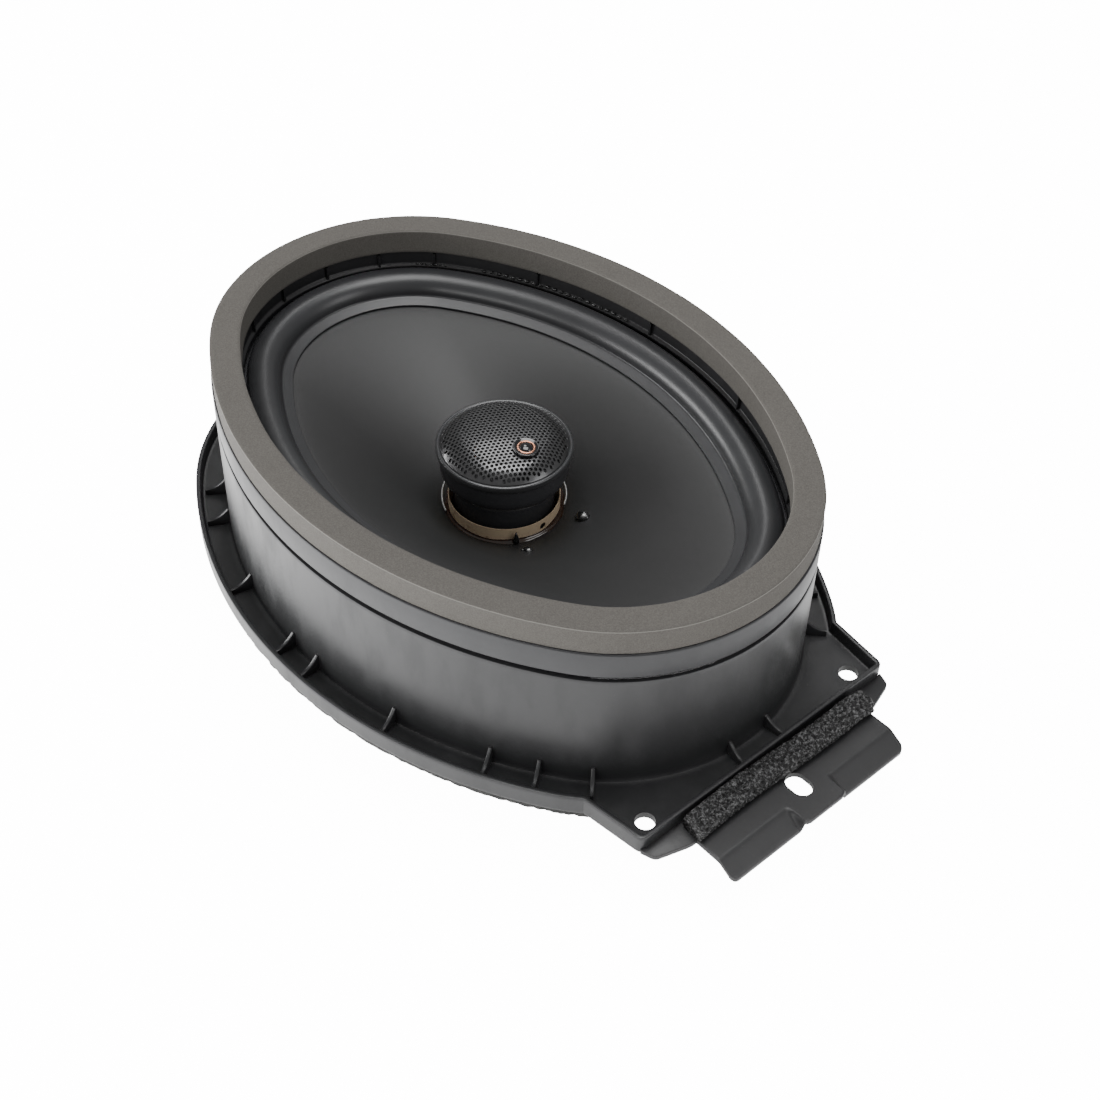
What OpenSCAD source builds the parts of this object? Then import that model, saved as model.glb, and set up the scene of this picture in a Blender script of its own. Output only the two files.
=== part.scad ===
// Oval coaxial car speaker in its deep adapter housing.
// The origin is the middle of the magnet boot's flat rear face, on the voice-coil axis.
// +Z points out of the front of the speaker and +X runs along the oval towards the mounting tab.

/* [Oval rim] */
// Half of the rim's length
rim_a = 118; // [100:0.5:145]
// Half of the rim's width
rim_b = 84.5; // [70:0.5:100]
// Radius of the rim's two end arcs
rim_end_r = 68; // [58:0.5:74]
// Height of the rim band below the front gasket
rim_band_h = 9.7; // [8:0.1:14]
// Width of the rim's solid edge
rim_band_w = 7.5; // [6:0.1:9]

/* [Housing] */
// Height of the housing wall above the flange's rear face
wall_h = 48.3; // [38:0.1:60]
// Thickness of the housing wall
wall_t = 2.8; // [2:0.1:4]
// Height of the open groove between the housing wall and the rim band
groove_h = 1.7; // [1:0.1:3]
// How far the flange reaches past the rim at the ends
flange_reach_end = 11.4; // [9:0.1:16]
// How far the flange reaches past the rim at the sides
flange_reach_side = 9.9; // [8:0.1:15]
// Thickness of the flange
flange_t = 2.5; // [1.8:0.1:4]
// Height of the lip, from the flange's rear face
lip_h = 7; // [5:0.1:10]
// Thickness of the lip
lip_t = 2; // [1.4:0.1:3]
// Height of the gusset ribs at the wall
rib_h = 6.5; // [5:0.5:14]
// Height of the two gusset ribs behind the screw lip
front_rib_h = 5; // [4:0.5:12]
// Thickness of the gusset ribs
rib_t = 1.2; // [0.8:0.1:2]

/* [Flange extension and tab] */
// How far the squared extension reaches past the rim's end
ext_reach = 9.1; // [8:0.1:14]
// Half width of the extension at its front
ext_front_half = 54.8; // [48:0.1:60]
// Half width of the extension where it leaves the oval
ext_root_half = 57.6; // [50:0.1:62]
// Radius of the two screw holes in the extension
screw_r = 3.25; // [2:0.05:4]
// Distance between the two screw holes
screw_spacing = 93; // [70:0.5:96]
// Distance of the screw holes from the extension's front face
screw_inset = 7.1; // [6:0.1:9]
// Thickness of the mounting tab
tab_t = 2; // [1.5:0.1:3]
// Depth of the ledge in front of the extension
ledge_d = 8; // [6:0.1:12]
// Half width of the tab
tab_half = 39.3; // [30:0.1:44]
// Flat length of the tab, from the ledge to its bend
tab_flat = 9; // [7:0.1:14]
// Length of the bent wings
wing_l = 8.4; // [5:0.1:14]
// Angle of the bent wings below the tab
wing_angle = 32; // [15:1:45]
// Half width of the flat tongue between the wings
tongue_half = 9.3; // [7:0.1:14]
// How far the tongue reaches past the bend
tongue_l = 8.6; // [5:0.1:12]
// Width of the tab's slot
slot_w = 7; // [5:0.1:9]
// Length of the tab's slot, end to end
slot_l = 9.5; // [9:0.1:13]

/* [Foam] */
// Thickness of the front gasket
gasket_h = 9.3; // [6:0.1:14]
// Width of the front gasket
gasket_w = 10.2; // [8.5:0.1:10.8]
// Inset of the front gasket from the rim
gasket_inset = 0.6; // [0:0.1:1.5]
// Height of the foam strip on the ledge
strip_h = 6; // [4:0.1:10]
// Depth of the foam strip
strip_d = 8.6; // [6:0.1:10]
// Thickness of the rear seal
seal_h = 3; // [2:0.1:5]
// Width of the rear seal
seal_w = 8; // [5:0.1:9]

/* [Surround and cone] */
// Width of the surround's half roll
roll_w = 11.5; // [9:0.1:13]
// Distance of the roll's outer edge from the rim
roll_outer = 11.5; // [11.3:0.1:13]
// Width of the surround's inner lip
lip_w = 4; // [3:0.1:6]
// Height of the surround's outer edge below the rim's top face
roll_drop = 8.7; // [7.5:0.1:10]
// Depth of the cone from its visible edge to its neck
cone_depth = 26; // [20:0.5:29]
// Thickness of the cone
cone_t = 0.8; // [0.6:0.1:1.2]
// Thickness of the surround
surround_t = 0.7; // [0.5:0.1:1.2]

/* [Motor] */
// How far the motor stands behind the flange's rear face
motor_drop = 18; // [14:0.5:24]
// Thickness of the magnet boot
boot_t = 2; // [1.5:0.1:3]
// Radius of the magnet
magnet_r = 42; // [35:0.1:51]
// Thickness of the magnet
magnet_h = 15; // [12:0.5:16]
// Thickness of the yoke's plate
yoke_t = 5; // [4:0.1:7]
// Thickness of the top plate
plate_t = 6; // [5:0.1:7]
// Inner radius of the voice-coil former
coil_r = 19; // [15.5:0.1:23]
// Wall of the voice-coil former
former_t = 0.3; // [0.2:0.05:0.5]
// Radial build of the winding
winding_t = 0.6; // [0.4:0.1:1]
// Length of the winding
winding_l = 12; // [9:0.5:13]
// Clearance on each side of the coil in the gap
gap_clear = 0.55; // [0.4:0.05:1]
// Travel of the cone each way, which the clearances leave room for
cone_travel = 4; // [2:0.5:4.5]

/* [Tweeter] */
// Outer radius of the tweeter's rim ring
tweeter_r = 23.2; // [20:0.1:28]
// Height of the tweeter's cup
cup_h = 12; // [10:0.1:16]
// Clearance between the stem's wide base and the former
post_clear = 1.7; // [1.2:0.1:3]
// Height of the tweeter's face above the floor of its cup
face_h = 6.4; // [6:0.1:9]
// Height of the grille's dome
grille_rise = 5; // [4:0.1:8]
// Radius of the tweeter's dome
dome_r = 10; // [8:0.1:11]
// Radius of the round badge
badge_r = 4.5; // [3:0.1:5.5]

/* [Hidden] */
$fn = 96;
ring_n = 96;
loft_n = 64;
eps = 0.5;
glue = 0.3;
flange_z = motor_drop;
floor_z = flange_z + flange_t;
wall_top = flange_z + wall_h;
band_z = wall_top + groove_h;
rim_z = band_z + rim_band_h;
gasket_top = rim_z + gasket_h;
ext_front = rim_a + ext_reach;
screw_x = ext_front - screw_inset;
tab_z = flange_z + tab_t;
ledge_x = ext_front + ledge_d;
bend_x = ledge_x + tab_flat;
tongue_x = bend_x + tongue_l;
slot_x = bend_x - slot_l / 2 + 1.4;
seat_out = wall_t + 0.3;
seat_in = roll_outer + 0.4;
seat_t = 2;
surround_z = rim_z - roll_drop;
roll_inner = roll_outer + roll_w;
lip_in = roll_inner + lip_w;
roll_fall = 2;
lip_fall = 1.2;
cone_edge_z = surround_z - roll_fall - lip_fall - surround_t - glue;
neck_z = cone_edge_z - cone_depth + cone_t;
former_r = coil_r + former_t;
neck_r = former_r + 0.3;
former_top = neck_z + 6;
yoke_z = boot_t;
yoke_r = magnet_r - 2;
magnet_z = yoke_z + yoke_t;
plate_z = magnet_z + magnet_h;
basket_z = plate_z + plate_t;
pole_r = coil_r - gap_clear;
post_r = coil_r - post_clear;
gap_r = former_r + winding_t + gap_clear;
magnet_in = gap_r + 3.6;
winding_z = plate_z + plate_t / 2 - winding_l / 2;
plate_r = magnet_r - 2;
boot_r = magnet_r + 0.3 + boot_t;
boot_top = plate_z - 2;
basket_t = 2.5;
spider_z = neck_z - 3;
spider_in = former_r + glue;
spider_out = magnet_r + 4;
spider_land = 4;
seat_r = spider_out + spider_land;
spider_t = 0.5;
spider_wave = 1.2;
spider_waves = 5;
spoke_w = 14;
spoke_wall = 7;
spokes = [30, 90, 150, 210, 270, 330];
board_x = seat_r + 0.5;
ear_x = board_x + 15;
ear_half = 14;
board_t = 2;
rivet_r = 2;
rivet_ring = magnet_r - 9;
stem_r = 4;
stem_bore = 2;
nut_r = 7;
nut_h = 3.5;
nut_z = yoke_z + 2;
rim_ring_z = neck_z + 27.7;
cup_z = rim_ring_z - cup_h;
cup_wall = 1.6;
cup_r = tweeter_r - 1.2;
cup_foot_r = max(tweeter_r - 2, post_r);
grille_r = cup_r - 0.5;
grille_t = 0.8;
grille_ball = (grille_r * grille_r + grille_rise * grille_rise) / (2 * grille_rise);
pot_z = cup_z + cup_wall;
face_z = pot_z + face_h;
tw_gap = 0.45;
tw_coil_t = 0.5;
badge_x = 10.8;
wire_r = 0.6;
wire_x = boot_r + 4;

// Four-arc oval: half length a, half width b and end radius r; the side arcs are tangent to the end arcs.
function side_r(a, b, r) = (r * r - b * b - (a - r) * (a - r)) / (2 * (r - b));
function join_angle(a, b, r) = atan2(side_r(a, b, r) - b, a - r);
function first_quarter(a, b, r, q) = q <= join_angle(a, b, r)
    ? [a - r + r * cos(q), r * sin(q)]
    : [side_r(a, b, r) * cos(q), b - side_r(a, b, r) * (1 - sin(q))];
// The oval's point whose outward normal is at angle q
function oval_at(a, b, r, q) = let(
        turn = (q % 360 + 360) % 360,
        fold = turn > 180 ? 360 - turn : turn,
        quarter = fold > 90 ? 180 - fold : fold,
        p = first_quarter(a, b, r, quarter))
    [fold > 90 ? -p[0] : p[0], turn > 180 ? -p[1] : p[1]];
function oval(a, b, r, n = ring_n) = [for (i = [0 : n - 1]) oval_at(a, b, r, 360 * i / n)];
// The rim's oval moved outwards by off
function rim(off, n = ring_n) = oval(rim_a + off, rim_b + off, rim_end_r + off, n);
// The flange's oval moved outwards by off
function flange(off) = oval(rim_a + flange_reach_end + off, rim_b + flange_reach_side + off,
    rim_end_r + (flange_reach_end + flange_reach_side) / 2 + off);
// Distance from the axis to the rim's oval, moved by off, in the direction phi of the first quarter
function ray_to_circle(centre, r, phi) = let(along = centre[0] * cos(phi) + centre[1] * sin(phi))
    along + sqrt(along * along - centre[0] * centre[0] - centre[1] * centre[1] + r * r);
function rim_reach(off, phi) = let(
        a = rim_a + off, b = rim_b + off, r = rim_end_r + off,
        turn = (phi % 180 + 180) % 180,
        quarter = turn > 90 ? 180 - turn : turn,
        join = first_quarter(a, b, r, join_angle(a, b, r)))
    quarter <= atan2(join[1], join[0])
    ? ray_to_circle([a - r, 0], r, quarter)
    : ray_to_circle([0, b - side_r(a, b, r)], side_r(a, b, r), quarter);

// A ring lofted from lists of corner points that all have the same length
module loft(rings) {
    n = len(rings[0]);
    m = len(rings);
    points = [for (ring = rings) each ring];
    faces = [for (j = [0 : m - 1]) for (i = [0 : n - 1]) let(
            a = j * n + i,
            b = j * n + (i + 1) % n,
            c = ((j + 1) % m) * n + (i + 1) % n,
            d = ((j + 1) % m) * n + i)
        each [[a, b, c], [a, c, d]]];
    polyhedron(points, faces);
}

module slab(outline, z0, z1) {
    translate([0, 0, z0])
        linear_extrude(z1 - z0)
            polygon(outline);
}

module band(outer, inner, z0, z1) {
    difference() {
        slab(outer, z0, z1);
        slab(inner, z0 - 1, z1 + 1);
    }
}

module tube(r_out, r_in, z0, z1) {
    translate([0, 0, z0])
        difference() {
            cylinder(r = r_out, h = z1 - z0);
            translate([0, 0, -1])
                cylinder(r = r_in, h = z1 - z0 + 2);
        }
}

module disc(r, z0, z1) {
    translate([0, 0, z0])
        cylinder(r = r, h = z1 - z0);
}

// The squared extension's outline, drawn in by inset
function extension(inset) = [
    [rim_a / 2, -ext_root_half + inset],
    [ext_front - 23, -ext_root_half + inset],
    [ext_front - inset, -ext_front_half + inset],
    [ext_front - inset, ext_front_half - inset],
    [ext_front - 23, ext_root_half - inset],
    [rim_a / 2, ext_root_half - inset]
];

// Cuts its children off square at x
module cut_front(x) {
    difference() {
        children();
        translate([x, -2 * rim_b, 0])
            cube([rim_a, 4 * rim_b, gasket_top]);
    }
}

module flange_plan(inset, z0, z1) {
    cut_front(ext_front - inset) {
        union() {
            slab(flange(-inset), z0, z1);
            slab(extension(inset), z0, z1);
        }
    }
}

// Distance from the wall to the lip's inner face along the outward normal at q
function lip_reach(q) = let(
        turn = (q % 180 + 180) % 180,
        quarter = turn > 90 ? 180 - turn : turn,
        a = rim_a + flange_reach_end - lip_t,
        b = rim_b + flange_reach_side - lip_t,
        r = rim_end_r + (flange_reach_end + flange_reach_side) / 2 - lip_t,
        root = first_quarter(rim_a, rim_b, rim_end_r, quarter),
        end_centre = [a - r, 0],
        to_end = ray_to_circle(end_centre - root, r, quarter),
        hit = root + to_end * [cos(quarter), sin(quarter)] - end_centre)
    atan2(hit[1], hit[0]) <= join_angle(a, b, r)
    ? to_end
    : ray_to_circle([0, b - side_r(a, b, r)] - root, side_r(a, b, r), quarter);

// One gusset: it falls in a curve from the wall to the lip, along the outward normal at q
module gusset(q, reach, height) {
    root = oval_at(rim_a, rim_b, rim_end_r, q);
    profile = [
        [0, floor_z],
        [0, floor_z + height],
        [0.6, floor_z + height],
        [1.8, floor_z + height * 0.65],
        [reach * 0.55, floor_z + height * 0.4],
        [reach - rib_gap, floor_z + 2.2],
        [reach - rib_gap, floor_z]
    ];
    translate([root[0], root[1], 0])
        rotate([90, 0, q])
            translate([0, 0, -rib_t / 2])
                linear_extrude(rib_t)
                    polygon(profile);
}

// The ribs stop this far short of the lip, which is flat between its corners
flange_side_r = side_r(rim_a + flange_reach_end, rim_b + flange_reach_side,
    rim_end_r + (flange_reach_end + flange_reach_side) / 2);
rib_gap = 0.02 + flange_side_r * (1 - cos(180 / ring_n));

// Normal angles of the gussets along one side, and of the two on the extension
side_gussets = [45, 56, 62, 75, 88, 93, 105, 118, 124];
front_gussets = [-6.5, 7.5];

// The moulded housing is one piece on the object: its wall, its flange and its ribs meet face to face here
module housing_wall() {
    color("#232425")
        band(rim(0), rim(-wall_t), floor_z, wall_top);
}

module housing_flange() {
    color("#232425")
        difference() {
            union() {
                flange_plan(0, flange_z, floor_z);
                difference() {
                    flange_plan(0, flange_z, flange_z + lip_h);
                    flange_plan(lip_t, flange_z - 1, flange_z + lip_h + 1);
                }
            }
            slab(rim(-wall_t), flange_z - 1, floor_z + 1);
            for (side = [-1, 1])
                translate([screw_x, side * screw_spacing / 2, flange_z - 1])
                    cylinder(r = screw_r, h = flange_t + 2);
        }
}

module housing_ribs() {
    color("#232425")
        union() {
            for (q = side_gussets, side = [-1, 1])
                gusset(side * q, min(flange_reach_side - lip_t, lip_reach(q)), rib_h);
            for (q = front_gussets)
                gusset(q, ext_reach - lip_t, front_rib_h);
        }
}

module mounting_tab() {
    ledge = [
        [ext_front, -ext_front_half],
        [ext_front + 4.4, -ext_front_half + 1.6],
        [ledge_x, -tab_half - 2],
        [ledge_x, tab_half + 2],
        [ext_front + 4.4, ext_front_half - 1.6],
        [ext_front, ext_front_half]
    ];
    tongue = [
        [ledge_x - eps, -tab_half],
        [bend_x, -tab_half],
        [bend_x, -tongue_half],
        [tongue_x, -tongue_half],
        [tongue_x, tongue_half],
        [bend_x, tongue_half],
        [bend_x, tab_half],
        [ledge_x - eps, tab_half]
    ];
    wing_dx = wing_l * cos(wing_angle);
    wing_dz = wing_l * sin(wing_angle);
    wing = [
        [bend_x - eps, tab_z],
        [bend_x, tab_z],
        [bend_x + wing_dx, tab_z - wing_dz],
        [bend_x + wing_dx - tab_t * sin(wing_angle), tab_z - wing_dz - tab_t * cos(wing_angle)],
        [bend_x - eps, flange_z]
    ];
    color("#262728")
        difference() {
            union() {
                slab(ledge, flange_z, tab_z);
                slab(tongue, flange_z, tab_z);
                for (side = [-1, 1])
                    translate([0, side * (tab_half + tongue_half) / 2, 0])
                        rotate([90, 0, 0])
                            translate([0, 0, -(tab_half - tongue_half) / 2])
                                linear_extrude(tab_half - tongue_half)
                                    polygon(wing);
            }
            for (end = [-1, 1])
                translate([slot_x + end * (slot_l - slot_w) / 2, 0, flange_z - 1])
                    cylinder(r = slot_w / 2, h = tab_t + 2);
            translate([slot_x - (slot_l - slot_w) / 2, -slot_w / 2, flange_z - 1])
                cube([slot_l - slot_w, slot_w, tab_t + 2]);
        }
}

module front_gasket() {
    color("#6a675f")
        band(rim(-gasket_inset), rim(-gasket_inset - gasket_w), rim_z, gasket_top);
}

module tab_foam_strip() {
    color("#1b1b1b")
        translate([ext_front + 1.2, -tab_half, tab_z])
            cube([strip_d, 2 * tab_half, strip_h]);
}

module rear_seal() {
    color("#191919")
        cut_front(ext_front - 0.8)
            band(flange(-0.8), flange(-0.8 - seal_w), flange_z - seal_h, flange_z);
}

module joint_glue() {
    color("#0c0c0c")
        band(rim(-1.3), rim(-wall_t), wall_top, band_z);
}

// A spoke of the basket, in the direction phi: down inside the wall, then in to the motor seat
module spoke(phi) {
    top = rim_reach(-seat_out, phi) + 2;
    shin_z = basket_z + 22;
    profile = [
        [top, band_z],
        [top, shin_z],
        [seat_r - 1, basket_z],
        [seat_r - 3, basket_z],
        [seat_r - 3, basket_z + basket_t],
        [seat_r - 2, basket_z + basket_t],
        [top - spoke_wall, shin_z + 3],
        [top - spoke_wall, band_z]
    ];
    rotate([90, 0, phi])
        translate([0, 0, -spoke_w / 2])
            linear_extrude(spoke_w)
                polygon(profile);
}

// The moulded basket is one piece on the object: its rim, its legs and its motor seat meet face to face here
module basket_rim() {
    color("#2b2c2e")
        difference() {
            union() {
                slab(rim(0), band_z, rim_z);
                slab(rim(-seat_out), band_z - seat_t, band_z + eps);
            }
            slab(rim(-rim_band_w), band_z, rim_z + 1);
            slab(rim(-seat_in), band_z - seat_t - 1, band_z + 1);
        }
}

module basket_legs() {
    color("#2b2c2e")
        difference() {
            intersection() {
                slab(rim(-seat_out), basket_z, band_z - seat_t);
                union() {
                    for (phi = spokes)
                        spoke(phi);
                }
            }
            disc(seat_r, basket_z - 1, spider_z + 5);
        }
}

module basket_seat() {
    color("#2b2c2e")
        difference() {
            union() {
                disc(seat_r, basket_z, basket_z + basket_t);
                tube(seat_r, spider_out + 0.2, basket_z, spider_z - spider_t / 2);
                translate([seat_r - 4, -ear_half, basket_z])
                    cube([ear_x - seat_r + 4, 2 * ear_half, basket_t]);
            }
            disc(gap_r + 3, basket_z - 1, basket_z + basket_t + 1);
            for (i = [0 : 3])
                rotate([0, 0, 90 * i + 45])
                    translate([rivet_ring, 0, basket_z - 1])
                        cylinder(r = rivet_r + 0.05, h = basket_t + 2);
        }
}

module retaining_ring() {
    color("#1e1f20")
        band(rim(-rim_band_w - 0.05), rim(-roll_outer + 0.5), surround_z, rim_z);
}

// The surround's section: outer land, half roll and inner lip, as pairs of inset and height
roll_steps = 8;
function surround_line(lift) = concat(
    [[-rim_band_w - 0.4, surround_z + lift]],
    [for (i = [0 : roll_steps]) let(t = 180 * i / roll_steps)
        [-roll_outer - roll_w / 2 + (roll_w / 2 + lift) * cos(t),
         surround_z - roll_fall * i / roll_steps + lift + (roll_w / 2) * sin(t)]],
    [[-lip_in, surround_z - roll_fall - lip_fall + lift]]);

module surround() {
    upper = surround_line(0);
    lower = surround_line(-surround_t);
    section = concat(lower, [for (i = [len(upper) - 1 : -1 : 0]) upper[i]]);
    color("#2a2b2c")
        loft([for (p = section) [for (v = rim(p[0], loft_n)) [v[0], v[1], p[1]]]]);
}

// The cone's surface: s runs from the neck (0) to the edge of the visible cone (1) and a little under the lip
function cone_rise(s) = s > 1 ? cone_edge_z + (s - 1) * 10
    : neck_z + (cone_edge_z - neck_z) * (1 - pow(1 - s, 1.25) * (1 - 0.12 * s));
function cone_point(s, q) = let(edge = oval_at(rim_a - lip_in, rim_b - lip_in, rim_end_r - lip_in, q))
    [neck_r * cos(q) * (1 - s) + edge[0] * s, neck_r * sin(q) * (1 - s) + edge[1] * s];
function cone_ring(s, drop) = [for (i = [0 : loft_n - 1]) let(p = cone_point(s, 360 * i / loft_n))
    [p[0], p[1], cone_rise(s) - drop]];

module cone() {
    stations = [0, 0.12, 0.28, 0.5, 0.75, 1, 1.02];
    color("#2f3031")
        loft(concat(
            [for (s = stations) cone_ring(s, 0)],
            [for (i = [len(stations) - 1 : -1 : 0]) cone_ring(stations[i], cone_t)]));
}

module voice_coil_former() {
    color("#b08a5a")
        tube(former_r, coil_r, winding_z - 0.5, former_top);
}

module voice_coil() {
    color("#a4552d")
        tube(former_r + winding_t, former_r, winding_z, winding_z + winding_l);
}

// The glue's fillet is higher than the cone where the cone is steepest, at the sides of its neck
glue_w = 1.6;
neck_slope = 1.37 * (cone_edge_z - neck_z) / (rim_b - lip_in - neck_r);
glue_h = glue_w * neck_slope + 0.45;

module neck_glue() {
    color("#7a3d10")
        rotate_extrude()
            polygon([
                [former_r, neck_z + 0.1],
                [neck_r, neck_z + 0.2],
                [neck_r + glue_w, neck_z + glue_h],
                [former_r, neck_z + glue_h + 0.3]
            ]);
}

// The two leads pass through the cone at this station and normal angle
lead_s = 0.15;
lead_q = 33;
lead_at = cone_point(lead_s, lead_q);
lead_x = lead_at[0];
lead_y = lead_at[1];
lead_z = cone_rise(lead_s);
dot_above = 1.3;
dot_below = 2;
board_top = basket_z + basket_t + board_t;

module lead_dots() {
    color("#101010")
        for (side = [-1, 1])
            translate([lead_x, side * lead_y, lead_z - dot_below])
                cylinder(r = 1.5, h = dot_above + dot_below);
}

// A thin eight-sided lead through a list of points that lie near a plane of constant y
module lead(route, r) {
    last = len(route) - 1;
    sides = 8;
    points = [for (i = [0 : last]) let(
            way = route[min(i + 1, last)] - route[max(i - 1, 0)],
            up = cross([0, 1, 0], way) / norm(cross([0, 1, 0], way)),
            across = cross(way, up) / norm(cross(way, up)))
        for (k = [0 : sides - 1])
            route[i] + r * (cos(360 * k / sides) * up + sin(360 * k / sides) * across)];
    walls = [for (i = [0 : last - 1]) for (k = [0 : sides - 1]) let(
            a = i * sides + k,
            b = i * sides + (k + 1) % sides)
        [a, a + sides, b + sides, b]];
    start_cap = [for (k = [0 : sides - 1]) k];
    end_cap = [for (k = [sides - 1 : -1 : 0]) last * sides + k];
    polyhedron(points, concat(walls, [start_cap, end_cap]));
}

// A round wire through a list of points
module wire(route, r) {
    for (i = [0 : len(route) - 2]) {
        step = route[i + 1] - route[i];
        along = norm(step);
        translate(route[i])
            rotate([0, acos(step[2] / along), atan2(step[1], step[0])])
                cylinder(r = r, h = along, $fn = 16);
        if (i > 0)
            translate(route[i])
                sphere(r = r, $fn = 16);
    }
}

module tinsel_leads() {
    color("#a06a35")
        for (side = [-1, 1])
            lead([
                [lead_x + 0.5, side * lead_y, lead_z - dot_below - wire_r - 0.4],
                [lead_x + 4, side * (lead_y - 0.6), spider_z + 4.4],
                [lead_x + 10, side * (lead_y - 1.2), spider_z + 3.4],
                [lead_x + 17, side * (lead_y - 1.8), spider_z + 3.2],
                [board_x + 1, side * (lead_y - 2), spider_z + 2.6],
                [board_x + 3, side * (lead_y - 2), spider_z + 0.6],
                [board_x + 3.6, side * (lead_y - 2), board_top + 0.1]
            ], wire_r);
}

function spider_wavy(lift) = [for (i = [0 : 4 * spider_waves]) let(t = i / (4 * spider_waves))
    [spider_in + (spider_out - spider_in) * t, spider_z + lift + spider_wave * sin(360 * spider_waves * t)]];

module spider() {
    upper = concat(spider_wavy(spider_t / 2), [[spider_out + spider_land, spider_z + spider_t / 2]]);
    lower = concat(spider_wavy(-spider_t / 2), [[spider_out + spider_land, spider_z - spider_t / 2]]);
    color("#c9a24a")
        rotate_extrude()
            polygon(concat(upper, [for (i = [len(lower) - 1 : -1 : 0]) lower[i]]));
}

module top_plate() {
    color("#8d9094")
        difference() {
            tube(plate_r, gap_r, plate_z, basket_z);
            for (i = [0 : 3])
                rotate([0, 0, 90 * i + 45])
                    translate([rivet_ring, 0, plate_z - 1])
                        cylinder(r = rivet_r + 0.05, h = plate_t + 2);
        }
}

module magnet() {
    color("#3c3d40")
        tube(magnet_r, magnet_in, magnet_z, plate_z);
}

module yoke() {
    color("#83868a")
        difference() {
            union() {
                disc(yoke_r, yoke_z, magnet_z);
                disc(pole_r, yoke_z, basket_z);
            }
            disc(stem_r + 0.15, yoke_z - 1, basket_z + 1);
            disc(nut_r + 1, yoke_z - 1, nut_z + nut_h);
            translate([0, -2, yoke_z - 1])
                cube([yoke_r + 1, 4, 2.8]);
        }
}

module magnet_boot() {
    color("#1d1d1e")
        difference() {
            disc(boot_r, 0, boot_top);
            disc(magnet_r + 0.3, boot_t, boot_top + 1);
            translate([magnet_r - 1, -2, yoke_z])
                cube([boot_t + 3, 4, 3]);
        }
}

module motor_rivets() {
    color("#9a9c9e")
        for (i = [0 : 3])
            rotate([0, 0, 90 * i + 45])
                translate([rivet_ring, 0, 0]) {
                    disc(rivet_r, plate_z, basket_z + basket_t);
                    disc(rivet_r * 1.7, basket_z + basket_t, basket_z + basket_t + 1.4);
                }
}

module terminal_board() {
    color("#5b4a32")
        translate([board_x, -ear_half + 1, basket_z + basket_t])
            cube([ear_x - board_x, 2 * ear_half - 2, board_t]);
}

module terminal(width, side) {
    color("#c8b06a")
        translate([ear_x - 3, side * 8 - width / 2, board_top])
            cube([12, width, 0.8]);
}

module terminal_wide() {
    terminal(6.3, 1);
}

module terminal_narrow() {
    terminal(4.8, -1);
}

module crossover_capacitor() {
    color("#1f2c4a")
        translate([board_x + 8, 6.5, board_top + 3.5])
            rotate([90, 0, 0])
                cylinder(r = 3.5, h = 13);
}

module tweeter_leads() {
    color("#7d2020")
        for (side = [-1, 1])
            wire([
                [0, side, pot_z - 0.2],
                [0, side, yoke_z + 1],
                [wire_x, side, yoke_z + 1],
                [wire_x, side, basket_z]
            ], wire_r);
}

module tweeter_post() {
    color("#141415")
        difference() {
            union() {
                disc(post_r, basket_z, cup_z);
                disc(stem_r, nut_z - 0.2, basket_z + 1);
            }
            disc(stem_bore, yoke_z, cup_z + 1);
        }
}

module post_nut() {
    color("#a9abad")
        translate([0, 0, nut_z])
            difference() {
                cylinder(r = nut_r, h = nut_h, $fn = 6);
                translate([0, 0, -1])
                    cylinder(r = stem_r, h = nut_h + 2);
            }
}

module tweeter_cup() {
    color("#18191a")
        rotate_extrude()
            polygon([
                [stem_bore, cup_z],
                [cup_foot_r - 0.8, cup_z],
                [cup_foot_r, cup_z + 0.8],
                [cup_r, cup_z + cup_h * 0.6],
                [cup_r, rim_ring_z - 0.4],
                [cup_r - cup_wall, rim_ring_z - 0.4],
                [cup_r - cup_wall, cup_z + cup_wall],
                [stem_bore, cup_z + cup_wall]
            ]);
}

module tweeter_rim() {
    color("#3b3c3e")
        rotate_extrude()
            polygon([
                [cup_r, rim_ring_z - 3],
                [tweeter_r - 0.3, rim_ring_z - 2.6],
                [tweeter_r, rim_ring_z - 0.6],
                [tweeter_r - 0.5, rim_ring_z],
                [cup_r, rim_ring_z]
            ]);
}

module grille_cap(r, z) {
    intersection() {
        translate([0, 0, z - r])
            sphere(r = r);
        disc(grille_r, rim_ring_z - 0.4, rim_ring_z + grille_rise + 1);
    }
}

module tweeter_grille() {
    top = rim_ring_z + grille_rise;
    color("#1a1a1b")
        difference() {
            grille_cap(grille_ball, top);
            grille_cap(grille_ball - grille_t, top - grille_t);
            disc(grille_r - 2, rim_ring_z - 1, rim_ring_z - 0.3);
        }
}

module tweeter_badge() {
    badge_z = rim_ring_z + grille_rise - grille_ball + sqrt(pow(grille_ball, 2) - pow(badge_x, 2));
    tilt = asin(badge_x / grille_ball);
    color("#0d0d0e")
        translate([badge_x, 0, badge_z])
            rotate([0, tilt, 0])
                translate([0, 0, 0.15])
                    cylinder(r = badge_r, h = 1.2);
}

module tweeter_pot() {
    color("#8d9094")
        difference() {
            disc(dome_r + 3.4, pot_z, face_z - 1.6);
            disc(dome_r + tw_coil_t + tw_gap, pot_z + 1.6, face_z);
        }
}

module tweeter_magnet() {
    color("#a0a3a6")
        disc(dome_r - 2, pot_z + 1.6, pot_z + 3.4);
}

module tweeter_plate() {
    color("#8d9094")
        disc(dome_r - tw_gap - 0.3, pot_z + 3.4, face_z - 1.6);
}

module tweeter_face() {
    color("#202122")
        tube(cup_r - cup_wall, dome_r + 2.4, face_z - 1.6, face_z);
}

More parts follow.
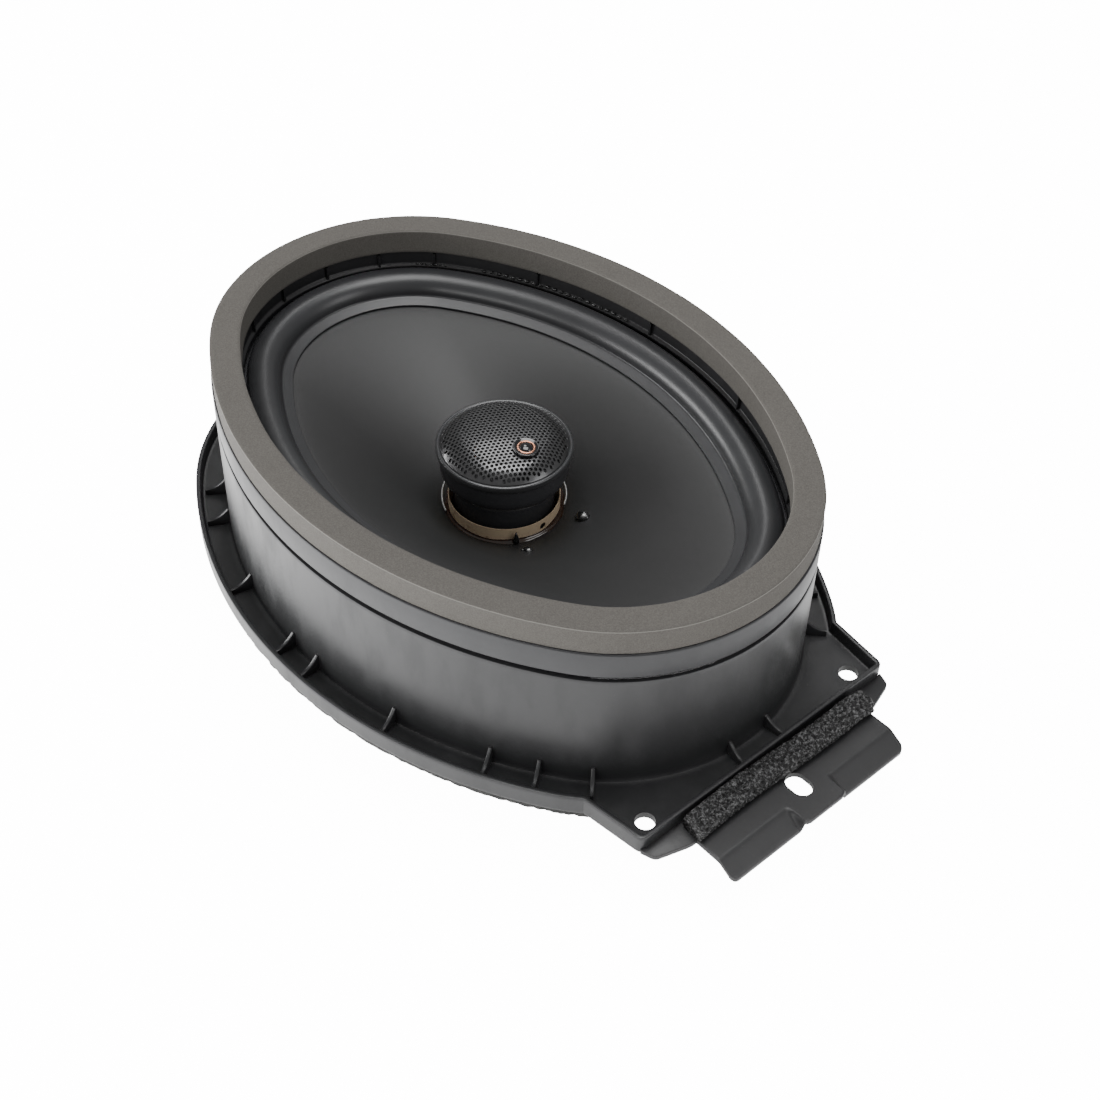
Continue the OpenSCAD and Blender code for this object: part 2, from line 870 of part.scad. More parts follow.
module tweeter_surround() {
    color("#2a2a2b")
        rotate_extrude()
            polygon([
                [dome_r + glue, face_z],
                [dome_r + 1.3, face_z + 0.8],
                [dome_r + 2.6, face_z],
                [dome_r + 3.6, face_z],
                [dome_r + 3.6, face_z + 0.3],
                [dome_r + 2.6, face_z + 0.3],
                [dome_r + 1.3, face_z + 1.1],
                [dome_r + glue, face_z + 0.3]
            ]);
}

module tweeter_dome() {
    rise = dome_r * 0.32;
    ball = (dome_r * dome_r + rise * rise) / (2 * rise);
    color("#55504a")
        difference() {
            intersection() {
                translate([0, 0, face_z + rise - ball])
                    sphere(r = ball);
                disc(dome_r, face_z, face_z + rise + 1);
            }
            translate([0, 0, face_z + rise - ball - 0.3])
                sphere(r = ball);
        }
}

module tweeter_coil() {
    color("#a4552d")
        tube(dome_r + tw_coil_t - 0.1, dome_r - 0.1, face_z - 3.4, face_z - 0.35);
}

housing_wall();
housing_flange();
housing_ribs();
mounting_tab();
front_gasket();
tab_foam_strip();
rear_seal();
basket_rim();
basket_legs();
basket_seat();
joint_glue();
retaining_ring();
surround();
cone();
voice_coil_former();
voice_coil();
neck_glue();
lead_dots();
tinsel_leads();
spider();
top_plate();
magnet();
yoke();
magnet_boot();
motor_rivets();
terminal_board();
terminal_wide();
terminal_narrow();
crossover_capacitor();
tweeter_leads();
tweeter_post();
post_nut();
tweeter_cup();
tweeter_rim();
tweeter_grille();
tweeter_badge();
tweeter_pot();
tweeter_magnet();
tweeter_plate();
tweeter_face();
tweeter_surround();
tweeter_dome();
tweeter_coil();
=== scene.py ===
# %% [markdown]
# # An oval coaxial car speaker
# The speaker is a set of thin moulded, pressed and foamed pieces that share one axis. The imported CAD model
# already holds their sizes and how they move. This file builds the looks around it, piece by piece: first
# the outlines that many pieces share, then the finishes, then the pieces from the outside in, then the
# light.

import math

import bmesh
import bpy
import numpy as np
from mathutils import Matrix, Vector, noise


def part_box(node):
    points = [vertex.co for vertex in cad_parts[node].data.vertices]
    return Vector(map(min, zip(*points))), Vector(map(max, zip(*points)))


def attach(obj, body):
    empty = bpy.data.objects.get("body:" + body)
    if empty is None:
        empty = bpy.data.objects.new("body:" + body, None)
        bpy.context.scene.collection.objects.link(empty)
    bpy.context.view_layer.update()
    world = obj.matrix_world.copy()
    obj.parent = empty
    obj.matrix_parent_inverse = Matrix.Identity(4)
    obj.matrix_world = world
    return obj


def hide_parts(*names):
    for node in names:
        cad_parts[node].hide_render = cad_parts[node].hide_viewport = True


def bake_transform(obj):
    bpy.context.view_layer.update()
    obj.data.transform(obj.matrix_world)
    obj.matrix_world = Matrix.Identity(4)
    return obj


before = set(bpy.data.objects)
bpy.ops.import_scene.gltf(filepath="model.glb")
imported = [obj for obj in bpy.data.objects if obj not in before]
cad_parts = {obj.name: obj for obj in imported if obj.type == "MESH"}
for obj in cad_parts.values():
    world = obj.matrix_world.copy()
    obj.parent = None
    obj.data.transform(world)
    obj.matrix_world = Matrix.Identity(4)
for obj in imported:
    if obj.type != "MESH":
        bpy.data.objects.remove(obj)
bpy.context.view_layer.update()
MM = 0.001
print("CAD nodes:", len(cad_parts))

# %% [markdown]
# ## Sizes
# Every size that the CAD model knows is read from the boxes of its nodes, in millimetres. Only what a box
# can't say, such as an arc's radius, is written here as a number.


# %% Sizes read from the frame
def span(node):
    """The low and high corners of a node's box, in millimetres."""
    low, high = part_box(node)
    return np.array(low) / MM, np.array(high) / MM


rim_high = span("basket_rim")[1]
glue_low, glue_high = span("joint_glue")
shell_low, shell_high = span("housing_flange")
gasket_low, gasket_high = span("front_gasket")
cone_low = span("cone")[0]
former_low, former_high = span("voice_coil_former")
ring_high = span("tweeter_rim")[1]

rim_a, rim_b, rim_end_r = rim_high[0], rim_high[1], 68.0
rim_z, band_z, wall_top = rim_high[2], glue_high[2], glue_low[2]
flange_a, flange_b, flange_end_r = -shell_low[0], shell_high[1], 78.65
flange_t, lip_h, land_depth = 2.5, 7.0, 8.7
flange_z, floor_z, lip_z = shell_low[2], shell_low[2] + flange_t, shell_low[2] + lip_h
ext_front, ext_root_half, ext_front_half = shell_high[0], 57.6, 54.8
wall_t, lip_t = 2.8, 2.0
land_z = rim_z - land_depth
print("rim", rim_a, rim_b, "flange", flange_a, flange_b, "front of the extension", ext_front)

# %% [markdown]
# ## Outlines
# The oval is drawn as a toolmaker draws it, from four arcs that meet without a corner. A point is found
# from the direction that its edge faces, so the same formula gives the oval drawn in or out by any amount.
# Sections are short lists of corners, and each corner is rounded by a small curve, because the light on a
# moulded edge comes from its radius.


# %% The four-arc oval
def oval(a, b, r, angles):
    """Points of the oval whose edges face the given angles, in degrees."""
    side = (r * r - b * b - (a - r) ** 2) / (2 * (r - b))
    join = math.atan2(side - b, a - r)
    q = np.radians(np.asarray(angles, float))
    c, s = np.cos(q), np.sin(q)
    steep = np.arctan2(np.abs(s), np.abs(c)) > join
    x = np.where(steep, side * np.abs(c), a - r + r * np.abs(c))
    y = np.where(steep, b - side * (1 - np.abs(s)), r * np.abs(s))
    return np.stack([np.sign(c) * x, np.sign(s) * y], -1)


ROUND = np.linspace(0, 360, 360, endpoint=False)


def rim(off, angles=ROUND):
    """The rim's oval, drawn out by off."""
    return oval(rim_a + off, rim_b + off, rim_end_r + off, angles)


def facing(angles):
    """Unit directions at the given angles, in degrees."""
    return np.stack([np.cos(np.radians(angles)), np.sin(np.radians(angles))], -1)


def at_height(plan, z):
    return np.column_stack([plan, np.full(len(plan), float(z))])


def circle(r, z, n=160):
    t = np.linspace(0, 2 * np.pi, n, endpoint=False)
    return np.stack([r * np.cos(t), r * np.sin(t), np.full(n, float(z))], -1)


def rounded(corners, radius, steps=4):
    """The same closed outline with each corner rounded. radius is one number or one for each corner."""
    corners = [np.array(c, float) for c in corners]
    radii = np.broadcast_to(radius, len(corners))
    out = []
    for i, here in enumerate(corners):
        before, after = corners[i - 1] - here, corners[(i + 1) % len(corners)] - here
        reach = min(radii[i], np.linalg.norm(before) * 0.49, np.linalg.norm(after) * 0.49)
        start = here + before / np.linalg.norm(before) * reach
        end = here + after / np.linalg.norm(after) * reach
        if reach < 1e-6:
            out.append(here)
            continue
        for t in np.linspace(0, 1, steps + 1):
            out.append((1 - t) ** 2 * start + 2 * t * (1 - t) * here + t * t * end)
    return np.array(out)


def inset(outline, distance):
    """A closed outline drawn in by a distance, with its corners mitred. It runs anticlockwise."""
    ahead = np.roll(outline, -1, 0) - outline
    ahead /= np.linalg.norm(ahead, axis=1)[:, None]
    behind = np.roll(ahead, 1, 0)
    left = np.stack([-ahead[:, 1], ahead[:, 0]], -1)
    left_behind = np.stack([-behind[:, 1], behind[:, 0]], -1)
    mitre = left + left_behind
    mitre /= np.maximum((mitre * left).sum(1), 0.35)[:, None]
    return outline + mitre * distance


print("oval half length and half width:", rim(0)[0], rim(0)[90])

# %% [markdown]
# ## Meshes
# Most pieces are a section carried round the axis: a list of closed loops with the same number of points,
# joined loop to loop into one closed skin. Plates are the second kind: an outline with a thickness and a
# small bevel. Both give clean quads and closed meshes. A piece may be made of several such skins.


# %% Mesh helpers
def skin(loops, close=True):
    """Joins loops of points into a skin. With close, the last loop joins the first."""
    loops = [np.asarray(loop, float) for loop in loops]
    n, m = len(loops[0]), len(loops)
    faces = []
    for j in range(m if close else m - 1):
        k = (j + 1) % m
        for i in range(n):
            h = (i + 1) % n
            faces.append((j * n + i, j * n + h, k * n + h, k * n + i))
    return np.concatenate(loops), faces


def capped(loops):
    points, faces = skin(loops, close=False)
    n = len(loops[0])
    faces.append(tuple(range(n)))
    faces.append(tuple(len(points) - n + i for i in range(n)))
    return points, faces


def sweep(section, plan=rim):
    """Carries a closed section of (offset, height) corners round a plan."""
    return skin([at_height(plan(u), z) for u, z in section])


def lathe(section, n=160):
    """Turns a closed section of (radius, height) corners round the axis."""
    return skin([circle(r, z, n) for r, z in section])


def plate(outline, low, high, bevel=0.3):
    """A flat plate with bevelled edges."""
    outline = np.asarray(outline, float)
    edge = inset(outline, bevel)
    soft = inset(outline, bevel * 0.3)
    layers = [(edge, low), (soft, low + bevel * 0.3), (outline, low + bevel),
              (outline, high - bevel), (soft, high - bevel * 0.3), (edge, high)]
    return capped([at_height(plan, z) for plan, z in layers])


def axes_at(x, y, z, place):
    """The matrix that lays a shape's own axes along x, y and z, at a place."""
    return Matrix([*zip(x, y, z, place), (0, 0, 0, 1)])


def placed(shape, matrix):
    points, faces = shape
    m = np.array(matrix)
    return points @ m[:3, :3].T + m[:3, 3], faces


print("a lathe of 3 corners has", len(lathe([(1, 0), (2, 0), (2, 1)])[1]), "faces")

# %% [markdown]
# ## From a mesh to a piece
# A piece is an object with its finish on and its normals turned outwards. It rides a body of the frame, so
# it moves when that body moves, and the CAD solid that it stands for is hidden. Holes are cut with a Boolean
# modifier that is applied at once, because a kept modifier would be worked out again at every pose.


# %% Objects, holes and pieces
def in_scene(name, data):
    """Makes an object of the data and links it to the scene."""
    obj = bpy.data.objects.new(name, data)
    bpy.context.scene.collection.objects.link(obj)
    return obj


def closed_mesh(name, points, faces):
    """A mesh from points in millimetres, with its normals turned outwards."""
    mesh = bpy.data.meshes.new(name)
    mesh.from_pydata((points * MM).tolist(), [], faces)
    work = bmesh.new()
    work.from_mesh(mesh)
    bmesh.ops.recalc_face_normals(work, faces=work.faces)
    work.to_mesh(mesh)
    work.free()
    return mesh


def cut(obj, cutter):
    """Cuts a closed shape out of a piece for good."""
    tool = in_scene("cutter", closed_mesh("cutter", *cutter))
    change = obj.modifiers.new("cut", "BOOLEAN")
    change.operation = "DIFFERENCE"
    change.solver = "EXACT"
    change.object = tool
    bpy.context.view_layer.update()
    result = bpy.data.meshes.new_from_object(obj.evaluated_get(bpy.context.evaluated_depsgraph_get()))
    obj.modifiers.clear()
    obj.data = result
    bpy.data.objects.remove(tool)


def piece(name, body, finish, slot, *shapes, sharp=40, cutters=(), stands_for=()):
    """Makes one object from its skins, cuts its holes and puts it on a body."""
    points, faces, base = [], [], 0
    for shape_points, shape_faces in shapes:
        points.append(np.asarray(shape_points, float))
        faces += [tuple(base + i for i in face) for face in shape_faces]
        base += len(shape_points)
    obj = in_scene(name, closed_mesh(name, np.concatenate(points), faces))
    obj.data.materials.append(finish)
    for cutter in cutters:
        cut(obj, cutter)
    obj.data.shade_smooth()
    if sharp:
        obj.data.set_sharp_from_angle(angle=math.radians(sharp))
    if body:
        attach(obj, body)
    if stands_for:
        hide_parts(*stands_for)
    return obj


def column(x, y, r, low, high, n=48):
    """A closed round column, to cut a hole with or to stand as a pin."""
    t = np.linspace(0, 2 * np.pi, n, endpoint=False)
    ring = np.stack([x + r * np.cos(t), y + r * np.sin(t)], -1)
    return capped([at_height(ring, low), at_height(ring, high)])


print("ready to make pieces")

# %% [markdown]
# ## Writing finishes as expressions
# A finish is a graph of shader nodes. Written as plain Python expressions it reads like the idea behind it:
# `grain * 0.3 + 0.35` is a roughness. A small class wraps one socket and turns each operator into a Math
# node, and one method makes every other node.


# %% The finish writer
class Value:
    """One shader socket. Operators on it add Math nodes."""

    def __init__(self, finish, socket):
        self.finish = finish
        self.socket = socket

    def _math(self, operation, first, second):
        return self.finish.node("ShaderNodeMath", {"operation": operation}, {0: first, 1: second})["Value"]

    def __add__(self, other):
        return self._math("ADD", self, other)

    def __radd__(self, other):
        return self._math("ADD", other, self)

    def __sub__(self, other):
        return self._math("SUBTRACT", self, other)

    def __rsub__(self, other):
        return self._math("SUBTRACT", other, self)

    def __mul__(self, other):
        return self._math("MULTIPLY", self, other)

    def __rmul__(self, other):
        return self._math("MULTIPLY", other, self)


class Made:
    """A node that was just made. Its outputs are read by name or number."""

    def __init__(self, finish, node):
        self.finish = finish
        self.node = node

    def __getitem__(self, key):
        return Value(self.finish, self.node.outputs[key])


class Finish:
    """One material, written node by node."""

    def __init__(self, name):
        self.material = bpy.data.materials.new(name)
        self.material.use_nodes = True
        self.tree = self.material.node_tree
        self.tree.nodes.clear()
        self.place = self.node("ShaderNodeTexCoord")["Object"]

    def node(self, kind, settings=None, sockets=None):
        """Any node: its type, its settings, and the values or links of its sockets."""
        made = self.tree.nodes.new(kind)
        for key, value in (settings or {}).items():
            setattr(made, key, value)
        for key, value in (sockets or {}).items():
            target = made.inputs[key]
            if isinstance(value, Value):
                self.tree.links.new(value.socket, target)
            elif hasattr(target.default_value, "__len__") and len(target.default_value) == 4:
                target.default_value = (*value, 1)
            else:
                target.default_value = value
        return Made(self, made)

    def noise(self, size, detail=3, rough=0.5, place=None):
        """Cloudy noise whose patches are about size millimetres across."""
        sockets = {"Vector": place or self.place, "Scale": 1 / (size * MM),
                   "Detail": detail, "Roughness": rough}
        return self.node("ShaderNodeTexNoise", None, sockets)["Fac"]

    def cells(self, size, out="Distance"):
        """Rounded cells about size millimetres across."""
        return self.node("ShaderNodeTexVoronoi", None, {"Vector": self.place, "Scale": 1 / (size * MM)})[out]

    def stretched(self, *scale):
        """The place with its axes scaled, which draws a pattern out along an axis of small scale."""
        return self.node("ShaderNodeMapping", None, {"Vector": self.place, "Scale": scale})["Vector"]

    def parts(self):
        """The place's X, Y and Z."""
        return self.node("ShaderNodeSeparateXYZ", None, {"Vector": self.place})

    def band(self, value, low, high):
        """0 below low, 1 above high, and smooth between."""
        return self.node("ShaderNodeMapRange", {"interpolation_type": "SMOOTHSTEP"}, {
            "Value": value, "From Min": low, "From Max": high})["Result"]

    def blend(self, share, first, second):
        """Mixes two colours."""
        return self.node("ShaderNodeMix", {"data_type": "RGBA"}, {0: share, 6: first, 7: second})[2]

    def bump(self, height, depth, strength=1.0, below=None):
        """A bump of depth millimetres where height runs from 0 to 1."""
        sockets = {"Height": height, "Distance": depth * MM, "Strength": strength}
        if below:
            sockets["Normal"] = below
        return self.node("ShaderNodeBump", None, sockets)["Normal"]

    def done(self, **sockets):
        """Closes the finish with the shader that takes these sockets."""
        named = {key.replace("_", " "): value for key, value in sockets.items()}
        shader = self.node("ShaderNodeBsdfPrincipled", None, named)
        self.node("ShaderNodeOutputMaterial", None, {"Surface": shader["BSDF"]})
        return self.material


print("finish writer ready")

# %% [markdown]
# ## Black moulded plastic
# The housing is injection moulded and slightly textured. It could be one dark colour, but what tells the
# eye that it is plastic is the gloss: broad soft highlights, broken up by a fine texture, faint flow marks
# and dust.


# %% Moulded plastics
def moulded(name, shade, gloss, grain=0.12, streaks=0.05):
    f = Finish(name)
    flow = f.noise(28, 2)
    streak = f.band(f.noise(8, 3, 0.6, f.stretched(1, 1, 0.3)), 0.4, 0.7)
    texture = f.noise(0.32, 2, 0.6)
    dust = f.band(f.noise(1.1, 4, 0.7), 0.66, 0.74)
    tint = f.blend(flow * 0.5, shade, [c * 1.22 for c in shade])
    return f.done(Base_Color=f.blend(dust * 0.16, tint, (0.2, 0.19, 0.175)),
                  Roughness=flow * 0.07 + texture * 0.06 + dust * 0.1 + streak * streaks + (gloss - 0.06),
                  Normal=f.bump(texture, grain * 0.03, 0.5, f.bump(flow, 0.12, 0.25)))


housing_plastic = moulded("housing_plastic", (0.024, 0.0243, 0.0255), 0.33, 0.12, 0.12)
tab_plastic = moulded("tab_plastic", (0.021, 0.021, 0.022), 0.4, 0.2, 0.1)
basket_plastic = moulded("basket_plastic", (0.027, 0.0275, 0.0295), 0.38, 0.2)
tweeter_plastic = moulded("tweeter_plastic", (0.033, 0.0335, 0.037), 0.38, 0.1)
black_plastic = moulded("black_plastic", (0.012, 0.012, 0.013), 0.36, 0.1)
print("five moulded plastics")

# %% [markdown]
# ## Foams
# The front gasket is closed-cell foam: a flat sheet cut to an oval, with a fine even grain and a painted
# highlight, a lighter colour along its rounded top edges. The strip and the rear seal are open-cell foam,
# whose pores are large enough to be geometry. Their finish only has to be dark, with cell walls that catch
# a little light, and one writer with a different wall colour serves both.


# %% Foams
def closed_foam(name):
    f = Finish(name)
    cells = f.noise(0.45, 3, 0.7)
    patches = f.noise(14, 3)
    specks = f.band(f.cells(0.9), 0.12, 0.3)
    base = f.blend(patches, (0.088, 0.082, 0.074), (0.105, 0.099, 0.09))
    grainy = f.blend(f.band(cells, 0.35, 0.7) * 0.5, base, (0.155, 0.148, 0.135))
    height, top = f.parts()["Z"] * (1 / MM), gasket_high[2]
    # Painted highlight: a lighter colour in a thin band at the height of the gasket's rounded top edges.
    painted_edge_highlight = f.band(height, top - 0.55, top - 0.4) * (1 - f.band(height, top - 0.2, top - 0.12))
    marked = f.blend((1 - specks) * 0.28, grainy, (0.05, 0.047, 0.041))
    return f.done(Base_Color=f.blend(painted_edge_highlight * 0.5, marked, (0.3, 0.29, 0.265)),
                  Roughness=cells * 0.1 + 0.82,
                  Specular_IOR_Level=0.25,
                  Normal=f.bump(cells, 0.05, 0.7, f.bump(patches, 0.25, 0.3)))


def open_foam(name, light):
    f = Finish(name)
    walls = f.noise(1.0, 4, 0.75)
    return f.done(Base_Color=f.blend(f.band(walls, 0.48, 0.63), (0.006, 0.006, 0.006), light),
                  Roughness=walls * -0.5 + 0.75,
                  Normal=f.bump(walls, 0.7, 1.0))


gasket_foam = closed_foam("gasket_foam")
seal_foam = open_foam("seal_foam", (0.16, 0.16, 0.162))
rear_foam = open_foam("rear_foam", (0.03, 0.027, 0.024))
print("three foams")

# %% [markdown]
# ## Rubber, cone, paper and glue
# The surround is butyl rubber with a satin skin. The cone is pressed polypropylene filled with mineral,
# almost matt, with a very fine grain. The former is kraft paper, and the glues are clear resin that stays
# glossy.


# %% Soft and glued finishes
def rubber(name, shade, gloss):
    f = Finish(name)
    skin_grain = f.noise(0.5, 3, 0.6)
    bloom = f.noise(9, 3)
    return f.done(Base_Color=f.blend(bloom * 0.8, shade, [c * 1.35 for c in shade]),
                  Roughness=bloom * 0.1 + skin_grain * 0.06 + (gloss - 0.08),
                  Normal=f.bump(skin_grain, 0.012, 0.5))


def pressed_cone(name):
    f = Finish(name)
    mineral = f.noise(0.22, 3, 0.7)
    cloud = f.noise(26, 2)
    lint = f.band(f.noise(0.8, 5, 0.8), 0.7, 0.78)
    base = f.blend(cloud, (0.018, 0.0182, 0.0186), (0.0225, 0.0228, 0.0232))
    return f.done(Base_Color=f.blend(lint * 0.2, base, (0.16, 0.155, 0.15)),
                  Roughness=mineral * 0.12 + 0.45,
                  Normal=f.bump(mineral, 0.02, 0.6))


def kraft(name):
    f = Finish(name)
    fibre = f.noise(10 / 9, 4, 0.7, f.stretched(1, 1, 6))
    soak = f.noise(3.5, 3)
    base = f.blend(fibre, (0.58, 0.44, 0.29), (0.82, 0.66, 0.46))
    return f.done(Base_Color=f.blend(f.band(soak, 0.56, 0.75) * 0.6, base, (0.2, 0.1, 0.035)),
                  Roughness=fibre * 0.15 + 0.45, Normal=f.bump(fibre, 0.03, 0.6))


def resin(name, shade, deep, gloss=0.08):
    f = Finish(name)
    streak = f.noise(2.2, 3)
    return f.done(Base_Color=f.blend(streak, shade, deep), Roughness=streak * 0.12 + gloss,
                  Coat_Weight=0.6, Coat_Roughness=0.04, Normal=f.bump(streak, 0.12, 0.6))


surround_rubber = rubber("surround_rubber", (0.026, 0.0265, 0.0282), 0.34)
boot_rubber = rubber("boot_rubber", (0.018, 0.018, 0.019), 0.55)
cone_poly = pressed_cone("cone_poly")
former_kraft = kraft("former_kraft")
amber_glue = resin("amber_glue", (0.05, 0.018, 0.005), (0.014, 0.006, 0.003))
black_glue = resin("black_glue", (0.006, 0.006, 0.006), (0.014, 0.014, 0.015))
print("rubbers, cone, paper and glues")

# %% [markdown]
# ## Metals and small parts
# The grille is pressed steel with gloss black paint, so it mirrors the lights on every little bridge
# between its holes. The motor is plated steel round a ground ferrite ring.


# %% Metals and small finishes
def painted(name, shade, gloss, metal=0.0):
    f = Finish(name)
    peel = f.noise(0.8, 2)
    return f.done(Base_Color=f.blend(peel * 0.5, shade, [c * 1.6 for c in shade]), Metallic=metal,
                  Roughness=peel * 0.08 + gloss, Coat_Weight=0.5, Coat_Roughness=0.1,
                  Normal=f.bump(peel, 0.02, 0.4))


def plated(name, shade, gloss):
    f = Finish(name)
    spangle = f.node("ShaderNodeRGBToBW", None, {"Color": f.cells(3.0, "Color")})["Val"]
    brush = f.noise(0.6, 4, 0.7)
    return f.done(Base_Color=f.blend(spangle * 0.4, shade, [c * 0.75 for c in shade]), Metallic=1.0,
                  Roughness=brush * 0.14 + gloss, Normal=f.bump(brush, 0.02, 0.4))


def woven(name, dark, light, pitch):
    f = Finish(name)
    parts = f.parts()
    turns = 2 * math.pi / (pitch * MM)
    warp, weft = [f.node("ShaderNodeMath", {"operation": "SINE"}, {0: parts[axis] * turns})["Value"]
                  for axis in "XY"]
    threads = warp * weft * 0.5 + 0.5
    return f.done(Base_Color=f.blend(threads, dark, light), Roughness=threads * 0.1 + 0.5,
                  Normal=f.bump(threads, 0.08, 0.7))


grille_steel = painted("grille_steel", (0.075, 0.075, 0.077), 0.28, 0.85)
rim_metal = painted("tweeter_rim_metal", (0.035, 0.036, 0.038), 0.3, 0.4)
badge_gloss = painted("badge_gloss", (0.004, 0.004, 0.005), 0.05)
badge_ring = plated("badge_ring", (0.62, 0.3, 0.2), 0.14)
capacitor_sleeve = painted("capacitor_sleeve", (0.01, 0.016, 0.06), 0.3)
red_wire = painted("wire_red", (0.2, 0.012, 0.01), 0.35)
plated_steel = plated("plated_steel", (0.52, 0.52, 0.5), 0.24)
neodymium = plated("neodymium", (0.62, 0.62, 0.64), 0.12)
terminal_plate = plated("terminal_plate", (0.72, 0.6, 0.34), 0.2)
copper = plated("copper", (0.6, 0.22, 0.09), 0.25)
tinned = plated("tinned_wire", (0.34, 0.34, 0.335), 0.36)
lead_braid = woven("lead_braid", (0.16, 0.07, 0.02), (0.5, 0.26, 0.1), 0.35)
spider_cloth = woven("spider_cloth", (0.3, 0.18, 0.04), (0.56, 0.38, 0.13), 0.7)
dome_silk = woven("dome_silk", (0.02, 0.018, 0.016), (0.07, 0.062, 0.052), 0.4)
ferrite = moulded("ferrite", (0.03, 0.03, 0.033), 0.5, 0.4)
phenolic = moulded("board_phenolic", (0.12, 0.065, 0.03), 0.45, 0.2)
print("finishes made:", len(bpy.data.materials))

# %% [markdown]
# ## The housing
# One deep moulding: an oval wall, a flange at its foot with an up-turned lip, and a squared extension at
# one end. The wall could be a plain extrusion with the flange joined on, but then the corner between them
# would be razor sharp. Here one section runs round everything. Each station has a point on the wall and a
# point on the lip, found on the same ray from the middle, so the floor stretches by itself where the
# extension reaches out.


# %% The flange's outline and the wall's foot on the same rays
ext_back, corner_r = ext_front - 23, 2.6


def flange_in(distance):
    """The flange's outline drawn in by a distance, always with the same number of points."""
    a, b, r = flange_a - distance, flange_b - distance, flange_end_r - distance
    front, half, root = ext_front - distance, ext_front_half - distance, ext_root_half - distance

    def beyond(q):
        x, y = oval(a, b, r, [q])[0]
        return y - np.interp(x, [ext_back, front], [root, half])

    low, high = 25.0, 80.0
    for _ in range(40):
        middle = (low + high) / 2
        low, high = (middle, high) if beyond(middle) < 0 else (low, middle)
    ring = oval(a, b, r, np.linspace(high, 360 - high, 560))
    widening = (root - half) / (front - ext_back)
    corner = rounded([(front, half - 8), (front, half), (front - 8, half + widening * 8)],
                     [0, max(0.5, corner_r - distance), 0], 6)[1:-1]
    front_ys = np.linspace(corner[0][1], -corner[0][1], 50)[1:-1]
    sides = [corner[-1] + (ring[0] - corner[-1]) * t for t in np.linspace(0, 1, 16)[1:-1]]
    upper = np.concatenate([corner, sides])
    return np.concatenate([ring, (upper * (1, -1))[::-1], [(front, -y) for y in front_ys], upper])


outline = flange_in(0)
turn = np.degrees(np.arctan2(outline[:, 1], outline[:, 0])) % 360
fine = np.linspace(0, 360, 7200, endpoint=False)


def on_rays(off):
    """The rim's oval, moved by off, met by the same rays as the flange's outline."""
    ring = rim(off, fine)
    angle = np.degrees(np.arctan2(ring[:, 1], ring[:, 0])) % 360
    reach = np.hypot(ring[:, 0], ring[:, 1])
    sort = np.argsort(angle)
    r = np.interp(turn, angle[sort], reach[sort], period=360)
    return facing(turn) * r[:, None]


print("stations round the flange:", len(outline))

# %% The housing's skin, its screw holes and its ribs
wall_section = [
    (0.3 - wall_t, flange_z), (-wall_t, flange_z + 0.3), (-wall_t, floor_z), (-wall_t, wall_top - 1.2),
    (-wall_t, wall_top - 0.35), (0.3 - wall_t, wall_top), (-0.5, wall_top), (-0.15, wall_top - 0.12),
    (0, wall_top - 0.5), (0, wall_top - 1.4), (0, (wall_top + floor_z) / 2), (0, floor_z + 2.6),
    (0, floor_z + 1.6), (0.15, floor_z + 0.8), (0.6, floor_z + 0.2), (1.4, floor_z), (2.4, floor_z)]
lip_section = [
    (lip_t + 1.2, floor_z), (lip_t + 0.6, floor_z), (lip_t + 0.15, floor_z + 0.15), (lip_t, floor_z + 0.6),
    (lip_t - 0.1, floor_z + 1.6), (lip_t - 0.25, lip_z - 0.7), (lip_t - 0.45, lip_z - 0.15),
    (lip_t - 0.75, lip_z), (0.5, lip_z), (0.15, lip_z - 0.15), (0, lip_z - 0.5), (0, lip_z - 1.2),
    (0, flange_z + 1), (0, flange_z + 0.4), (0.12, flange_z + 0.12), (0.4, flange_z), (1.2, flange_z)]
housing_skin = skin([at_height(on_rays(off), z) for off, z in wall_section]
                    + [at_height(flange_in(distance), z) for distance, z in lip_section])
screw_x, screw_half, screw_r = ext_front - 7.1, 46.5, 3.25
rib_t, rib_toe, sunk = 1.2, 2.2, 0.3


def rib(angle, reach, height):
    """A thin rib that falls in a hollow curve from the wall to the lip, along the wall's normal."""
    foot = rim(0, [angle])[0]
    fall = np.linspace(0, 1, 12)
    curve = [(0.5 + (reach - 0.6) * t, rib_toe + (height - rib_toe) * (1 - t) ** 2.2) for t in fall]
    profile = np.array([(-0.4, -sunk), (reach, -sunk), *curve[::-1], (-0.4, height)])
    q = math.radians(angle)
    ahead, up = Vector((math.cos(q), math.sin(q), 0)), Vector((0, 0, 1))
    matrix = axes_at(ahead, up, ahead.cross(up), (foot[0], foot[1], floor_z))
    return placed(plate(profile, -rib_t / 2, rib_t / 2, 0.2), matrix)


side_ribs, front_ribs = [45, 56, 62, 75, 88, 93, 105, 118, 124], [-6.5, 7.5]
ribs = [rib(side * q, 8.0, 6.5) for q in side_ribs for side in (1, -1)]
ribs += [rib(q, 7.2, 5.0) for q in front_ribs]
screw_holes = [column(screw_x, side * screw_half, screw_r, flange_z - 2, floor_z + 1) for side in (-1, 1)]
housing = piece("housing", "frame", housing_plastic, "housing_plastic", housing_skin, sharp=35,
                cutters=screw_holes, stands_for=["housing_wall", "housing_flange"])
piece("housing_ribs_moulded", "frame", housing_plastic, "housing_plastic", *ribs, stands_for=["housing_ribs"])
print("housing faces:", len(housing.data.polygons), "ribs:", len(ribs))

# %% [markdown]
# ## The mounting tab
# The tab is a flat ledge in front of the extension with a locating tongue. Its two wings bend down. It
# could be three plates, but the sides of the bend are drawn slopes in the mould, so it is one sheet of
# points whose height is a formula: flat up to the bend, and then down with the distance wherever the wings
# are.


